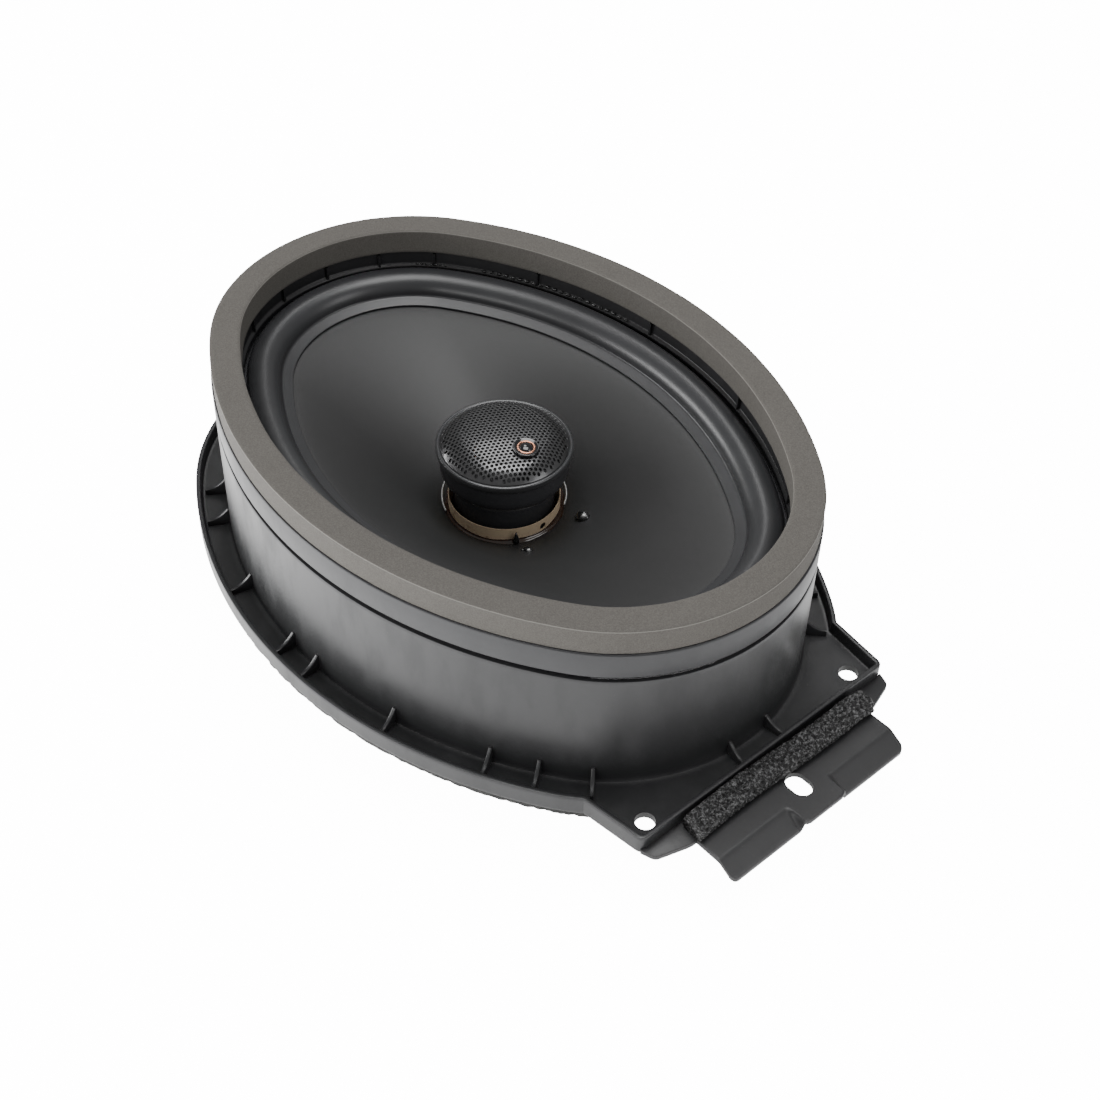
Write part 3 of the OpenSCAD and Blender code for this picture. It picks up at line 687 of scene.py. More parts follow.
# %% Ledge and bent tab
ledge_x = ext_front + 8
tab_half, tongue_half, tab_t, tab_z = 39.3, 9.3, 2.0, flange_z + 2
bend_x, wing_l, wing_slope = ledge_x + 9, 8.4, math.radians(32)
wing_corner, tongue_x = 2.2, span("mounting_tab")[1][0]
slot_x, slot_r = 140.75, 3.5


def smooth(t):
    t = np.clip(t, 0, 1)
    return t * t * (3 - 2 * t)


def tab_surface(lift, shrink):
    """A grid of the tab's points, drawn in by shrink at its edges."""
    ys = np.concatenate([np.linspace(*stretch) for stretch in (
        (-tab_half, -tongue_half - 2.4, 40), (-tongue_half - 2.2, -tongue_half + 0.6, 14),
        (-tongue_half + 1, tongue_half - 1, 14), (tongue_half - 0.6, tongue_half + 2.2, 14),
        (tongue_half + 2.4, tab_half, 40))])
    ys = np.clip(ys, -tab_half + shrink, tab_half - shrink)
    wing = smooth((np.abs(ys) - tongue_half + 0.4) / 1.8)
    wing_end = bend_x + wing_l * math.cos(wing_slope)
    end = tongue_x + (wing_end - tongue_x) * wing - shrink
    near = np.clip((np.abs(ys) - (tab_half - wing_corner)) / wing_corner, 0, 1)
    end -= wing_corner * (1 - np.sqrt(1 - near * near * 0.999))
    tongue_corner = np.clip((np.abs(ys) - (tongue_half - 2.2)) / 1.8, 0, 1) * (1 - wing)
    end -= 0.9 * tongue_corner ** 2
    rows = []
    for t in np.concatenate([[0], np.linspace(0.3, 0.5, 3), np.linspace(0.52, 1, 16)]):
        x = ledge_x - 0.6 + (end - ledge_x + 0.6) * t
        past = np.clip(x - bend_x, 0, None)
        bend = past * past / (past + 0.7)
        z = tab_z - wing * bend * math.tan(wing_slope) + lift
        rows.append(np.stack([x, ys, z], -1))
    return np.array(rows)


def closed_sheet(layers):
    """Joins grids that share a layout into one closed sheet, with the first and last as its two faces."""
    layers = [np.asarray(layer) for layer in layers]
    m, n = layers[0].shape[:2]
    edge = ([(0, j) for j in range(n)] + [(i, n - 1) for i in range(1, m)]
            + [(m - 1, j) for j in range(n - 2, -1, -1)] + [(i, 0) for i in range(m - 2, 0, -1)])
    points = [layers[0].reshape(-1, 3), layers[-1].reshape(-1, 3)]
    last = m * n
    faces = []
    for i in range(m - 1):
        for j in range(n - 1):
            a = i * n + j
            faces.append((a, a + 1, a + n + 1, a + n))
            faces.append((last + a, last + a + n, last + a + n + 1, last + a + 1))
    rings = [[i * n + j for i, j in edge]]
    base = 2 * m * n
    for layer in layers[1:-1]:
        points.append(np.array([layer[i, j] for i, j in edge]))
        rings.append(list(range(base, base + len(edge))))
        base += len(edge)
    rings.append([last + i * n + j for i, j in edge])
    for first, second in zip(rings, rings[1:]):
        for k in range(len(edge)):
            h = (k + 1) % len(edge)
            faces.append((first[k], first[h], second[h], second[k]))
    return np.concatenate(points), faces


def stadium(x, half, r, low, high):
    """A closed slot shape, long along X."""
    ends = np.array([(x + side * (half + r * math.cos(t)), side * r * math.sin(t))
                     for side in (1, -1) for t in np.linspace(-math.pi / 2, math.pi / 2, 20)])
    return capped([at_height(ends, low), at_height(ends, high)])


ledge_corners = [(ext_front - 0.5, -ext_front_half), (ext_front + 4.4, -ext_front_half + 1.6),
                 (ledge_x, -tab_half - 2), (ledge_x, tab_half + 2), (ext_front + 4.4, ext_front_half - 1.6),
                 (ext_front - 0.5, ext_front_half)]
ledge = plate(rounded(ledge_corners, [0, 1.6, 2.0, 2.0, 1.6, 0], 5), flange_z, tab_z, 0.3)
layers = [(0, 0.35), (-0.1, 0.1), (-0.35, 0), (0.35 - tab_t, 0), (0.1 - tab_t, 0.1), (-tab_t, 0.35)]
slot = stadium(slot_x, 1.25, slot_r, tab_z - 4, tab_z + 1)
piece("mounting_tab_moulded", "frame", tab_plastic, "housing_plastic",
      closed_sheet([tab_surface(lift, shrink) for lift, shrink in layers]), sharp=35, cutters=[slot],
      stands_for=["mounting_tab"])
piece("tab_ledge", "frame", tab_plastic, "housing_plastic", ledge)
print("tab reaches", round(tongue_x, 1), "mm")

# %% [markdown]
# ## Foam pieces
# The gasket is die-cut from closed-cell sheet, so it keeps crisp edges and only waves a little. Open-cell
# foam is another matter: its outline is made of torn cells. Each of its points is pushed in or out by the
# distance to the nearest cell centre, which carves the pores into the mesh itself.


# %% Waves and pores
def cell_place(point, size, seed):
    """Where a point lies in a noise whose cells are size millimetres across."""
    return Vector((point[0] / size + seed, point[1] / size, point[2] / size))


def waves(points, size, depth, seed=0.0):
    return np.array([noise.noise(cell_place(p, size, seed)) for p in points]) * depth


def porous(points, inward, size, depth, seed=0.0):
    """Pushes points along inward where a pore is open."""
    out = []
    for p, d in zip(points, inward):
        q = cell_place(p, size, seed)
        near = noise.voronoi(q)[0]
        wall = min(1.0, max(0.0, (near[1] - near[0]) * 2.2))
        out.append(p + d * depth * (wall * 0.9 + 0.1 * noise.noise(q * 2.3)))
    return np.array(out)


def rounded_box(width, height, corner, steps=10, between=14):
    """A cross-section centred on the origin, with evenly spread points."""
    corners = [(x * width / 2, y * height / 2) for x, y in ((-1, -1), (1, -1), (1, 1), (-1, 1))]
    ring = rounded(corners, corner, steps)
    ring = np.concatenate([ring, ring[:1]])
    length = np.concatenate([[0], np.cumsum(np.linalg.norm(np.diff(ring, axis=0), axis=1))])
    even = np.linspace(0, length[-1], 4 * between, endpoint=False)
    return np.stack([np.interp(even, length, ring[:, 0]), np.interp(even, length, ring[:, 1])], -1)


print("a wave's height at one place:", round(float(waves([(5.0, 3.0, 1.0)], 9, 0.07)[0]), 4))

# %% Front gasket
gasket_out, gasket_in = -0.6, -10.8
foot, top = gasket_low[2], gasket_high[2]
gasket_section = [
    (gasket_out - 0.25, foot), (gasket_out, foot + 0.3),
    *[(gasket_out, z) for z in np.linspace(foot + 1, top - 1, 6)],
    (gasket_out, top - 0.4), (gasket_out - 0.12, top - 0.1), (gasket_out - 0.4, top),
    *[(u, top) for u in np.linspace(gasket_out - 1.2, gasket_in + 1.2, 6)],
    (gasket_in + 0.4, top), (gasket_in + 0.1, top - 0.12), (gasket_in, top - 0.4),
    *[(gasket_in, z) for z in np.linspace(top - 1, foot + 1, 6)],
    (gasket_in, foot + 0.3), (gasket_in + 0.25, foot)]
even, gasket_faces = sweep(gasket_section)
wander = [waves(even, 9, 0.07), waves(even, 9, 0.07, 40), waves(even, 12, 0.05, 80)]
gasket_points = even + np.stack(wander, -1)
gasket = piece("front_gasket_foam", "frame", gasket_foam, "gasket_foam", (gasket_points, gasket_faces),
               sharp=0, stands_for=["front_gasket"])
print("gasket faces:", len(gasket.data.polygons))


# %% Foam strip and rear seal
def foam_run(stations, width, height, corner, pore, depth, between, close):
    """Carries a porous cross-section along stations of (place, sideways)."""
    section = rounded_box(width, height, corner, between=between)
    loops = []
    for place, sideways in stations:
        ring = place + section[:, :1] * sideways + section[:, 1:] * np.array([0, 0, 1.0])
        inward = place - ring
        inward /= np.linalg.norm(inward, axis=1)[:, None]
        loops.append(porous(ring, inward, pore, depth, seed=7.0))
    return skin(loops) if close else capped(loops)


strip_low, strip_high = span("tab_foam_strip")
strip_mid = (strip_low + strip_high) / 2
strip_stations = []
for y in np.linspace(strip_low[1] + 0.2, strip_high[1] - 0.2, 330):
    reach = (y - strip_mid[1]) / (strip_high[1] - strip_low[1]) * 2
    drift = 0.5 * math.sin(y * 0.09) + 0.7 * smooth((reach - 0.8) / 0.2)
    strip_stations.append((np.array([strip_mid[0] + drift, y, strip_mid[2] + 0.2]), np.array([1.0, 0, 0])))
strip = piece("tab_foam_strip_open", "frame", seal_foam, "seal_foam",
              foam_run(strip_stations, width=8.6, height=7.0, corner=2.8, pore=1.9, depth=1.1,
                       between=22, close=False), sharp=0, stands_for=["tab_foam_strip"])
seal_low, seal_high = span("rear_seal")
seal_mid = 4.8
seal_path = oval(flange_a - seal_mid, flange_b - seal_mid, flange_end_r - seal_mid, np.arange(0, 360, 0.6))
ahead = np.roll(seal_path, -1, 0) - np.roll(seal_path, 1, 0)
ahead /= np.linalg.norm(ahead, axis=1)[:, None]
seal_stations = [(np.array([p[0], p[1], (seal_low[2] + seal_high[2]) / 2]), np.array([d[1], -d[0], 0.0]))
                 for p, d in zip(seal_path, ahead)]
rear = piece("rear_seal_open", "frame", rear_foam, "seal_foam",
             foam_run(seal_stations, width=8.0, height=3.0, corner=0.6, pore=1.3, depth=0.5,
                      between=7, close=True), sharp=0, stands_for=["rear_seal"])
print("strip faces:", len(strip.data.polygons), "rear seal faces:", len(rear.data.polygons))

# %% [markdown]
# ## The basket's rim, the glued joint and the retaining ring
# Above the housing the basket's rim shows as a satin band, set on a bead of black glue that has squeezed
# out in places. Inside, a moulded ring clamps the surround's edge, with short ribs at even steps.


# %% Rim band and bead of glue
rim_section = rounded([(0, band_z), (0, rim_z), (-7.5, rim_z), (-7.5, band_z), (-11.9, band_z),
                       (-11.9, wall_top - 0.3), (-3.1, wall_top - 0.3), (-3.1, band_z)],
                      [0.5, 0.6, 0.3, 0, 0.4, 0.4, 0.3, 0], 3)
piece("basket_rim_moulded", "frame", basket_plastic, "basket_plastic", sweep(rim_section),
      stands_for=["basket_rim"])
groove_z = (wall_top + band_z) / 2


def glue_bead():
    """A bead with a wavy face that runs round the joint."""
    q = np.linspace(0, 360, 900, endpoint=False)
    bulge = []
    for x, y in facing(q) * 9:
        where = Vector((x, y, 1.7))
        bulge.append(0.22 * noise.noise(where) + 0.3 * max(0.0, noise.noise(where * 5.0)) ** 2)
    loops = []
    for t in np.linspace(0, 2 * math.pi, 12, endpoint=False):
        outwards = np.array(bulge) * (1 + math.cos(t)) / 2
        plan = rim(-2.0 + math.cos(t) * 0.75, q) + facing(q) * outwards[:, None]
        loops.append(at_height(plan, groove_z + math.sin(t) * (band_z - wall_top) * 0.49))
    return skin(loops)


piece("joint_glue_bead", "frame", black_glue, "glue", glue_bead(), sharp=0, stands_for=["joint_glue"])
print("groove at", round(groove_z, 2), "mm")

# %% [markdown]
# ## Drops of glue
# Glue that has squeezed out sets as small uneven drops. Each drop is a ball drawn out along the joint,
# whose rings swell by a noise that starts from the drop's own seed, so every run makes the same drops.


# %% Glue drops in the joint
def lump(place, along, length, radius, seed, n=14, m=10):
    """A small uneven drop, longer along one direction."""
    along = np.array(along) / np.linalg.norm(along)
    up = np.array([0, 0, 1.0])
    side = np.cross(along, up)
    side /= np.linalg.norm(side)
    loops = []
    for j in range(1, m):
        t = math.pi * j / m
        ring = []
        for i in range(n):
            a = 2 * math.pi * i / n
            swell = 1 + 0.28 * noise.noise(Vector((seed * 1.3 + math.cos(a), math.sin(a), t * 1.4)))
            ring.append(np.array(place) + along * length * math.cos(t)
                        + (side * math.cos(a) + up * math.sin(a)) * radius * math.sin(t) * swell)
        loops.append(np.array(ring))
    return capped(loops)


def ooze(low_angle, high_angle, off, z, size, count, seed):
    """Irregular beads of glue that have squeezed out along a stretch of the rim."""
    lumps = []
    for i in range(count):
        share = (i + 0.5) / count
        q = low_angle + (high_angle - low_angle) * share
        wave = noise.noise(Vector((seed + i * 0.83, seed, 0.4)))
        there = rim(off + 0.3 * wave, [q])[0]
        radius = size * (0.75 + 0.6 * abs(noise.noise(Vector((seed, i * 1.7, 2.2)))))
        along = Vector((-math.sin(math.radians(q)), math.cos(math.radians(q)), 0))
        there = (there[0], there[1], z + 0.35 * size * wave)
        lumps.append(lump(there, along, radius * 1.9, radius * 0.75, seed + i))
    return lumps


joint_ooze = ooze(-47, -14, off=-0.9, z=groove_z, size=0.42, count=34, seed=3)
joint_ooze += ooze(140, 152, off=-1.1, z=groove_z, size=0.4, count=9, seed=5)
piece("joint_glue_drops", "frame", black_glue, "glue", *joint_ooze, sharp=0)
print("drops in the joint:", len(joint_ooze))

# %% Retaining ring and its glue
ring_out, ring_in = -7.6, -10.7
ring_section = rounded([(ring_out, land_z + 0.1), (ring_out, rim_z - 0.3), (ring_in + 1.6, rim_z - 0.3),
                        (ring_in + 1.2, land_z + 3.4), (ring_in, land_z + 2.6), (ring_in, land_z + 0.1)],
                       [0, 0.3, 0.4, 0.3, 0.4, 0.3], 3)


def ring_tooth(q):
    """A short upright rib on the inside of the retaining ring."""
    top, foot = rim(ring_in + 1.7, [q])[0], rim(ring_in + 0.25, [q])[0]
    ahead = facing(q)
    across = np.array([-ahead[1], ahead[0]]) * 0.4
    plan = np.array([foot + across, foot - across, top - across, top + across])
    return capped([at_height(plan, land_z + 2.2), at_height(plan, rim_z - 1.6),
                   at_height(plan * 0.9 + top * 0.1, rim_z - 0.9)])


teeth = [ring_tooth(q) for q in range(13, 373, 20)]
piece("retaining_ring_moulded", "frame", black_plastic, "basket_plastic", sweep(ring_section), *teeth,
      stands_for=["retaining_ring"])
inner_ooze = ooze(97, 122, off=ring_in + 0.4, z=land_z + 3.5, size=0.55, count=22, seed=11)
inner_ooze += ooze(128, 140, off=ring_in + 0.5, z=land_z + 3.2, size=0.4, count=7, seed=21)
piece("surround_glue_drops", "frame", black_glue, "glue", *inner_ooze, sharp=0)
print("ring teeth:", len(teeth), "glue drops:", len(joint_ooze) + len(inner_ooze))

# %% [markdown]
# ## The surround
# The surround is a thin rubber half roll. Its outer edge is fixed and its inner edge moves with the cone,
# so it has to stretch between two bodies. One mesh that bends along Z can't do that, because the roll
# climbs and then falls. So it is split at its crest: the outer half rides the frame, and the inner half is a
# separate mesh that rides no body. Both halves take their normals from the same formula, so the light runs
# over the split unbroken.

# %% Two halves of the roll
roll_mid, roll_r, roll_fall, rubber_t = -17.25, 5.75, 2.0, 0.7
lip_off, lip_z_in = -27.0, land_z - 3.2
crest_z = land_z - roll_fall / 2 + roll_r


def roll(from_share, to_share, steps):
    """Points and normals on the roll's upper side, as (offset, height, normal offset, normal height)."""
    out = []
    for share in np.linspace(from_share, to_share, steps):
        t = math.pi * share
        out.append((roll_mid + roll_r * math.cos(t), land_z - roll_fall * share + roll_r * math.sin(t),
                    math.cos(t), math.sin(t)))
    return out


def flat(from_off, from_z, to_off, to_z, steps):
    """Points and normals on a straight stretch that runs inwards, in the same form."""
    out, climb = to_off - from_off, to_z - from_z
    length = math.hypot(out, climb)
    return [(from_off + out * t, from_z + climb * t, climb / length, -out / length)
            for t in np.linspace(0, 1, steps)]


def rubber_sheet(name, line, body):
    """A closed sheet whose upper side runs through a line of points and whose thickness is below it."""
    loops, normals = [], []
    for off, z, nu, nz in line:
        loops.append(at_height(rim(off), z))
        normals.append(np.column_stack([facing(ROUND) * nu, np.full(len(ROUND), nz)]))
    for (off, z, nu, nz), normal in zip(line[::-1], normals[::-1]):
        loops.append(at_height(rim(off - nu * rubber_t), z - nz * rubber_t))
        normals.append(-normal)
    made = piece(name, body, surround_rubber, "surround_rubber", skin(loops), sharp=0)
    made.data.normals_split_custom_set_from_vertices(np.concatenate(normals).tolist())
    return made


outer_line = flat(-7.9, land_z, -11.2, land_z, 5) + roll(0.03, 0.5, 30)
inner_line = roll(0.5, 0.965, 30) + flat(-23.7, land_z - 2.2, lip_off + 0.25, lip_z_in, 8)
inner_line += [(lip_off + 0.05, lip_z_in - 0.08, -0.6, 0.8), (lip_off, lip_z_in - 0.3, -1.0, 0.1)]
rubber_sheet("surround_outer_half", outer_line, "frame")
inner_half = rubber_sheet("surround_inner_half", inner_line, None)
crest_z * MM
(lip_z_in + 0.1) * MM
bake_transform(inner_half)
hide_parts("surround")
print("surround crest at", round(crest_z, 2), "mm")

# %% [markdown]
# ## The cone, its neck and the voice-coil former
# The cone is round at its neck and oval at its edge, so each of its rings is a mix of the two. Its rise
# follows the same soft curve as the solid one. Round the neck there is amber glue, the tan paper former
# with two vents, two sleeved wires that climb the former, a teardrop of black glue at its foot, and the
# drops of glue and solder where the leads come out through the cone.

# %% Cone
neck_r, neck_z = 19.6, cone_low[2] + 0.8
edge_z = lip_z_in - 1.0
cone_t = 0.8


def cone_height(s):
    """Height of the cone's face at a share of the way from its neck to its edge."""
    return np.where(s > 1, edge_z + (s - 1) * 10,
                    neck_z + (edge_z - neck_z) * (1 - np.clip(1 - s, 0, 1) ** 1.25 * (1 - 0.12 * s)))


def cone_ring(s, drop):
    plan = facing(ROUND) * neck_r * (1 - s) + rim(lip_off) * s
    return at_height(plan, float(cone_height(s)) - drop)


cone_stations = [*np.linspace(0, 0.98, 44), 1.0, 1.02]
cone_loops = [cone_ring(s, 0) for s in cone_stations] + [cone_ring(s, cone_t) for s in cone_stations[::-1]]
piece("cone_pressed", "cone", cone_poly, "cone_poly", skin(cone_loops), stands_for=["cone"])


def on_cone(x, y):
    """The cone's height at a place, by following its rings."""
    q = math.degrees(math.atan2(y, x))
    neck, edge = facing(q) * neck_r, rim(lip_off, [q])[0]
    low, high = 0.0, 1.0
    for _ in range(30):
        s = (low + high) / 2
        low, high = (s, high) if math.hypot(*(neck * (1 - s) + edge * s)) < math.hypot(x, y) else (low, s)
    return float(cone_height(s))


print("cone from", round(neck_z, 1), "to", round(edge_z, 1), "mm")

# %% Former and neck glue
former_r, former_in, former_top = former_high[0], former_high[0] - 0.3, former_high[2]
former_shell = lathe([(former_in, former_low[2]), (former_r, former_low[2]), (former_r, former_top - 0.05),
                      (former_r - 0.05, former_top), (former_in + 0.05, former_top),
                      (former_in, former_top - 0.05)], 200)
vent_r, vent_depth = 1.3, 3.0
sideways = Matrix.Translation((16, 0, former_top - vent_depth)) @ Matrix.Rotation(math.radians(90), 4, "Y")
vents = [placed(column(0, 0, vent_r, 0, 8, 24), Matrix.Rotation(math.radians(turned_to), 4, "Z") @ sideways)
         for turned_to in (2, 182)]
piece("former_paper", "cone", former_kraft, "former_kraft", former_shell, sharp=35, cutters=vents,
      stands_for=["voice_coil_former"])


def neck_fillet(seed, turns=np.linspace(0, 2 * math.pi, 220, endpoint=False)):
    """The amber glue at the neck, thicker in some places than in others."""
    glue_r, foot_r, inner_r = former_r + 0.02, 21.2, former_r - 0.05
    slope = [on_cone(foot_r * math.cos(a), foot_r * math.sin(a)) - 0.1 for a in turns]
    loops = []
    for t in np.linspace(0, 1, 10):
        ring = []
        for i, a in enumerate(turns):
            uneven = 1 + 0.4 * noise.noise(Vector((2.2 * math.cos(a) + seed, 2.2 * math.sin(a), 0.5)))
            r = glue_r + 1.6 * (1 - t) ** 2 * uneven
            foot = max(neck_z + 0.05, slope[i] if t == 0 else 0)
            ring.append((r * math.cos(a), r * math.sin(a), foot + 1.5 * t * uneven))
        loops.append(np.array(ring))
    inside = np.stack([np.cos(turns), np.sin(turns)], -1) * inner_r
    inner = [np.column_stack([inside, loops[-1][:, 2]]), np.column_stack([inside, loops[0][:, 2] - 0.6])]
    return skin(loops + inner)


piece("neck_glue_fillet", "cone", amber_glue, "amber_glue", neck_fillet(4.0), sharp=0,
      stands_for=["neck_glue"])
print("former from", round(former_low[2], 1), "to", round(former_top, 1), "mm")

# %% [markdown]
# ## Wires and their drops
# The coil's wires climb the former in thin sleeves and meet the leads in drops of glue on the cone. A curve
# object with a bevel would do for a wire, but here a tube of points is swept along a smooth path, which
# gives a closed mesh at once.


# %% Wire sleeves, teardrop, glue and solder
def smooth_path(points, steps=6):
    """A Catmull-Rom curve through the points."""
    full = np.concatenate([[2 * points[0] - points[1]], points, [2 * points[-1] - points[-2]]])
    out = []
    for a, b, c, d in zip(full, full[1:], full[2:], full[3:]):
        for t in np.linspace(0, 1, steps, endpoint=False):
            out.append(0.5 * (2 * b + (c - a) * t + (2 * a - 5 * b + 4 * c - d) * t * t
                              + (3 * b - a - 3 * c + d) * t ** 3))
    out.append(points[-1])
    return np.array(out)


def tube(path, radius, sides=10, ends=0.6):
    """A round wire through points, smoothed and with rounded ends."""
    path = smooth_path(np.asarray(path, float))
    loops = []
    up = np.array([0, 0, 1.0])
    count = len(path)
    for i, p in enumerate(path):
        way = path[min(i + 1, count - 1)] - path[max(i - 1, 0)]
        way = way / np.linalg.norm(way)
        if abs(way @ up) > 0.95:
            up = np.array([1.0, 0, 0])
        side = np.cross(way, up)
        side /= np.linalg.norm(side)
        up = np.cross(side, way)
        r = radius * (ends if i in (0, count - 1) else 1)
        loops.append([p + r * (math.cos(a) * side + math.sin(a) * up)
                      for a in np.linspace(0, 2 * math.pi, sides, endpoint=False)])
    return capped([np.array(loop) for loop in loops])


def round_former(from_turn, to_turn, z_from, z_to, stand, steps=7):
    """Points that climb the outside of the former."""
    out = []
    for t in np.linspace(0, 1, steps):
        a = math.radians(from_turn + (to_turn - from_turn) * t)
        r = former_r + stand * (1 + 0.5 * math.sin(math.pi * t))
        out.append((r * math.cos(a), r * math.sin(a), z_from + (z_to - z_from) * t))
    return out


lead_drops, solder = [], []
for x, y, size in ((26.6, 12.4, 2.1), (26.6, -12.4, 1.3)):
    z = on_cone(x, y)
    lead_drops.append(lump((x, y, z + 0.35), (1, 0.2, 0), size * 1.3, size, x + y))
    solder.append(lump((x + 0.6, y - 0.2, z + size * 0.55), (0.6, 1, 0), size * 0.75, size * 0.62, x - y))
    lead_drops.append(lump((x - 1.3, y - 1.2, z + 0.1), (0.6, 1, 0), size * 0.6, size * 0.45, x * y))
piece("lead_glue_drops", "cone", black_glue, "glue", *lead_drops, sharp=0, stands_for=["lead_dots"])
piece("lead_solder_beads", "cone", tinned, "lead_braid", *solder, sharp=0)
sleeve_r, stand = 0.42, 1.4
wires = [tube(round_former(204, 246, former_top + 0.4, neck_z + 1.8, stand), sleeve_r),
         tube(round_former(70, 40, former_top + 0.4, neck_z + 2.6, stand), sleeve_r)]
teardrop = placed(lathe([(0.01, 0), (0.85, 0.2), (1.2, 1.0), (1.0, 2.4), (0.45, 4.2), (0.01, 5.6)], 24),
                  Matrix.Translation((17.9, -10.1, neck_z + 0.3)))
piece("coil_lead_sleeves", "cone", tinned, "lead_braid", *wires, sharp=0)
piece("coil_lead_teardrop", "cone", black_glue, "glue", teardrop, sharp=0)
print("sleeves:", len(wires), "drops:", len(lead_drops), "beads of solder:", len(solder))

# %% [markdown]
# ## Spider and tinsel leads
# Below the cone, a ring of corrugated cloth centres the coil, and two braided leads cross from the
# terminals. Both bend when the cone moves. A ring can't bend along one straight line, so the spider is
# made as twelve sectors, each a separate mesh.

# %% Spider sectors and leads
spider_low, spider_high = span("spider")
spider_z = (spider_low[2] + spider_high[2]) / 2
spider_in, spider_out, spider_land, cloth_t = former_r + 0.3, 46.0, 50.0, 0.44


def spider_sector(index, count=12):
    half = math.pi / count
    middle = 2 * math.pi * index / count
    top, under = [], []
    for r in [*np.linspace(spider_in, spider_out, 60), *np.linspace(spider_out + 1, spider_land, 3)]:
        share = min(1.0, (r - spider_in) / (spider_out - spider_in))
        wave = 1.2 * math.sin(2 * math.pi * 5 * share)
        arc = [(r * math.cos(middle + a), r * math.sin(middle + a)) for a in np.linspace(-half, half, 13)]
        top.append([(x, y, spider_z + wave + cloth_t / 2) for x, y in arc])
        under.append([(x, y, spider_z + wave - cloth_t / 2) for x, y in arc])
    made = piece(f"spider_sector_{index + 1}", None, spider_cloth, "spider_cloth", closed_sheet([top, under]))
    c, s, z = math.cos(middle) * MM, math.sin(middle) * MM, spider_z * MM
    spider_out * c
    spider_out * s
    spider_in * c
    spider_in * s
    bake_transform(made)
    return made


sectors = [spider_sector(i) for i in range(12)]
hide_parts("spider")
board_top, lead_y = span("terminal_board")[1][2], 10.4
for number, side in enumerate((1, -1)):
    route = [(x, side * y, z) for x, y, z in (
        (27.1, 12.4, neck_z + 2.3), (30.6, 11.8, spider_z + 4.4), (36.6, 11.2, spider_z + 3.4),
        (43.6, 10.6, spider_z + 3.2), (51.5, lead_y, spider_z + 2.6), (53.5, lead_y, spider_z + 0.6),
        (54.1, lead_y, board_top + 0.15))]
    made = piece(f"tinsel_lead_{number + 1}", None, lead_braid, "lead_braid", tube(route, 0.55), sharp=0)
    side * lead_y * MM
    side * lead_y * MM
    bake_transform(made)
    if number == 0:
        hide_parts("tinsel_leads")
print("spider sectors:", len(sectors))

# %% [markdown]
# ## The tweeter
# The tweeter stands on the motor's pole in a small cup. Its grille is steel sheet punched with staggered
# round holes and then pressed into a dome with a tight shoulder. A texture could fake the holes, but they
# glitter because each bridge between them is a small curved mirror, so every hole is real: a tiling of
# hexagons, each with a round hole, laid on the dome.

# %% Cup, post and rim
cup_low, cup_high = span("tweeter_cup")
post_low, post_high = span("tweeter_post")
ring_z, cup_r, rim_r, post_r = ring_high[2], cup_high[0], ring_high[0], post_high[0]
cup_z, post_z, bore_r, stem_r, shelf_z = cup_low[2], post_high[2], 2.0, 4.0, 28.0
cup_t = 1.6
cup_section = rounded([(bore_r, cup_z), (cup_r - 1.0, cup_z), (cup_r - 0.1, cup_z + 3.2),
                       (cup_r, ring_z - 3.2), (cup_r, ring_z - 0.4), (cup_r - cup_t, ring_z - 0.4),
                       (cup_r - cup_t, cup_z + cup_t), (bore_r, cup_z + cup_t)],
                      [0, 1.6, 1.4, 0.2, 0.2, 0.2, 0.5, 0], 5)
piece("tweeter_cup_moulded", "frame", tweeter_plastic, "tweeter_plastic", lathe(cup_section, 200),
      stands_for=["tweeter_cup"])
post_section = rounded([(bore_r, shelf_z), (post_r - 0.6, shelf_z), (post_r, 40.0), (post_r, post_z - 3.6),
                        (post_r - 0.5, post_z - 3.0), (post_r - 0.5, post_z), (bore_r, post_z)],
                       [0, 0.4, 0.5, 0.3, 0.3, 0, 0], 3)
stem_section = [(bore_r, post_low[2]), (stem_r, post_low[2]),
                (stem_r, shelf_z + 0.4), (bore_r, shelf_z + 0.4)]
piece("tweeter_post_moulded", "frame", tweeter_plastic, "tweeter_plastic", lathe(post_section, 160),
      lathe(stem_section, 48), stands_for=["tweeter_post"])
band_section = rounded([(cup_r - 0.02, ring_z - 3.0), (rim_r - 0.35, ring_z - 2.7), (rim_r, ring_z - 1.2),
                        (rim_r - 0.1, ring_z - 0.15), (cup_r + 0.45, ring_z + 0.15),
                        (cup_r - 0.3, ring_z - 0.1), (cup_r - 0.3, ring_z - 0.5)],
                       [0.1, 0.5, 0.6, 0.35, 0.3, 0.1, 0], 4)
piece("tweeter_rim_ring", "frame", rim_metal, "tweeter_rim_metal", lathe(band_section, 240),
      stands_for=["tweeter_rim"])
print("tweeter rim radius", rim_r, "at", ring_z)

# %% Dome of the grille
grille_r, grille_rise, sheet_t = cup_r - 0.35, 4.9, 0.55
pitch, hole_r, corner_n = 1.56, 0.5, 12


def dome(r):
    """Height of the grille over the rim: a shallow dome that turns down at a shoulder."""
    crown_fall = 0.36 * grille_rise * (r / grille_r) ** 2
    past = np.clip((r - 0.66 * grille_r) / (0.34 * grille_r), 0, None)
    return ring_z + grille_rise - crown_fall - 0.62 * grille_rise * past ** 2.1


def on_dome(plan, depth):
    """The points of a plan, laid on the dome and sunk below its skin by depth."""
    r = np.hypot(plan[:, 0], plan[:, 1])
    slope = (dome(r + 0.05) - dome(r - 0.05)) / 0.1
    length = np.sqrt(1 + slope * slope)
    outward = plan / np.maximum(r, 1e-6)[:, None]
    return np.column_stack([plan - outward * (-slope / length * depth)[:, None], dome(r) - depth / length])


print("grille radius", round(grille_r, 2), "pitch", pitch)


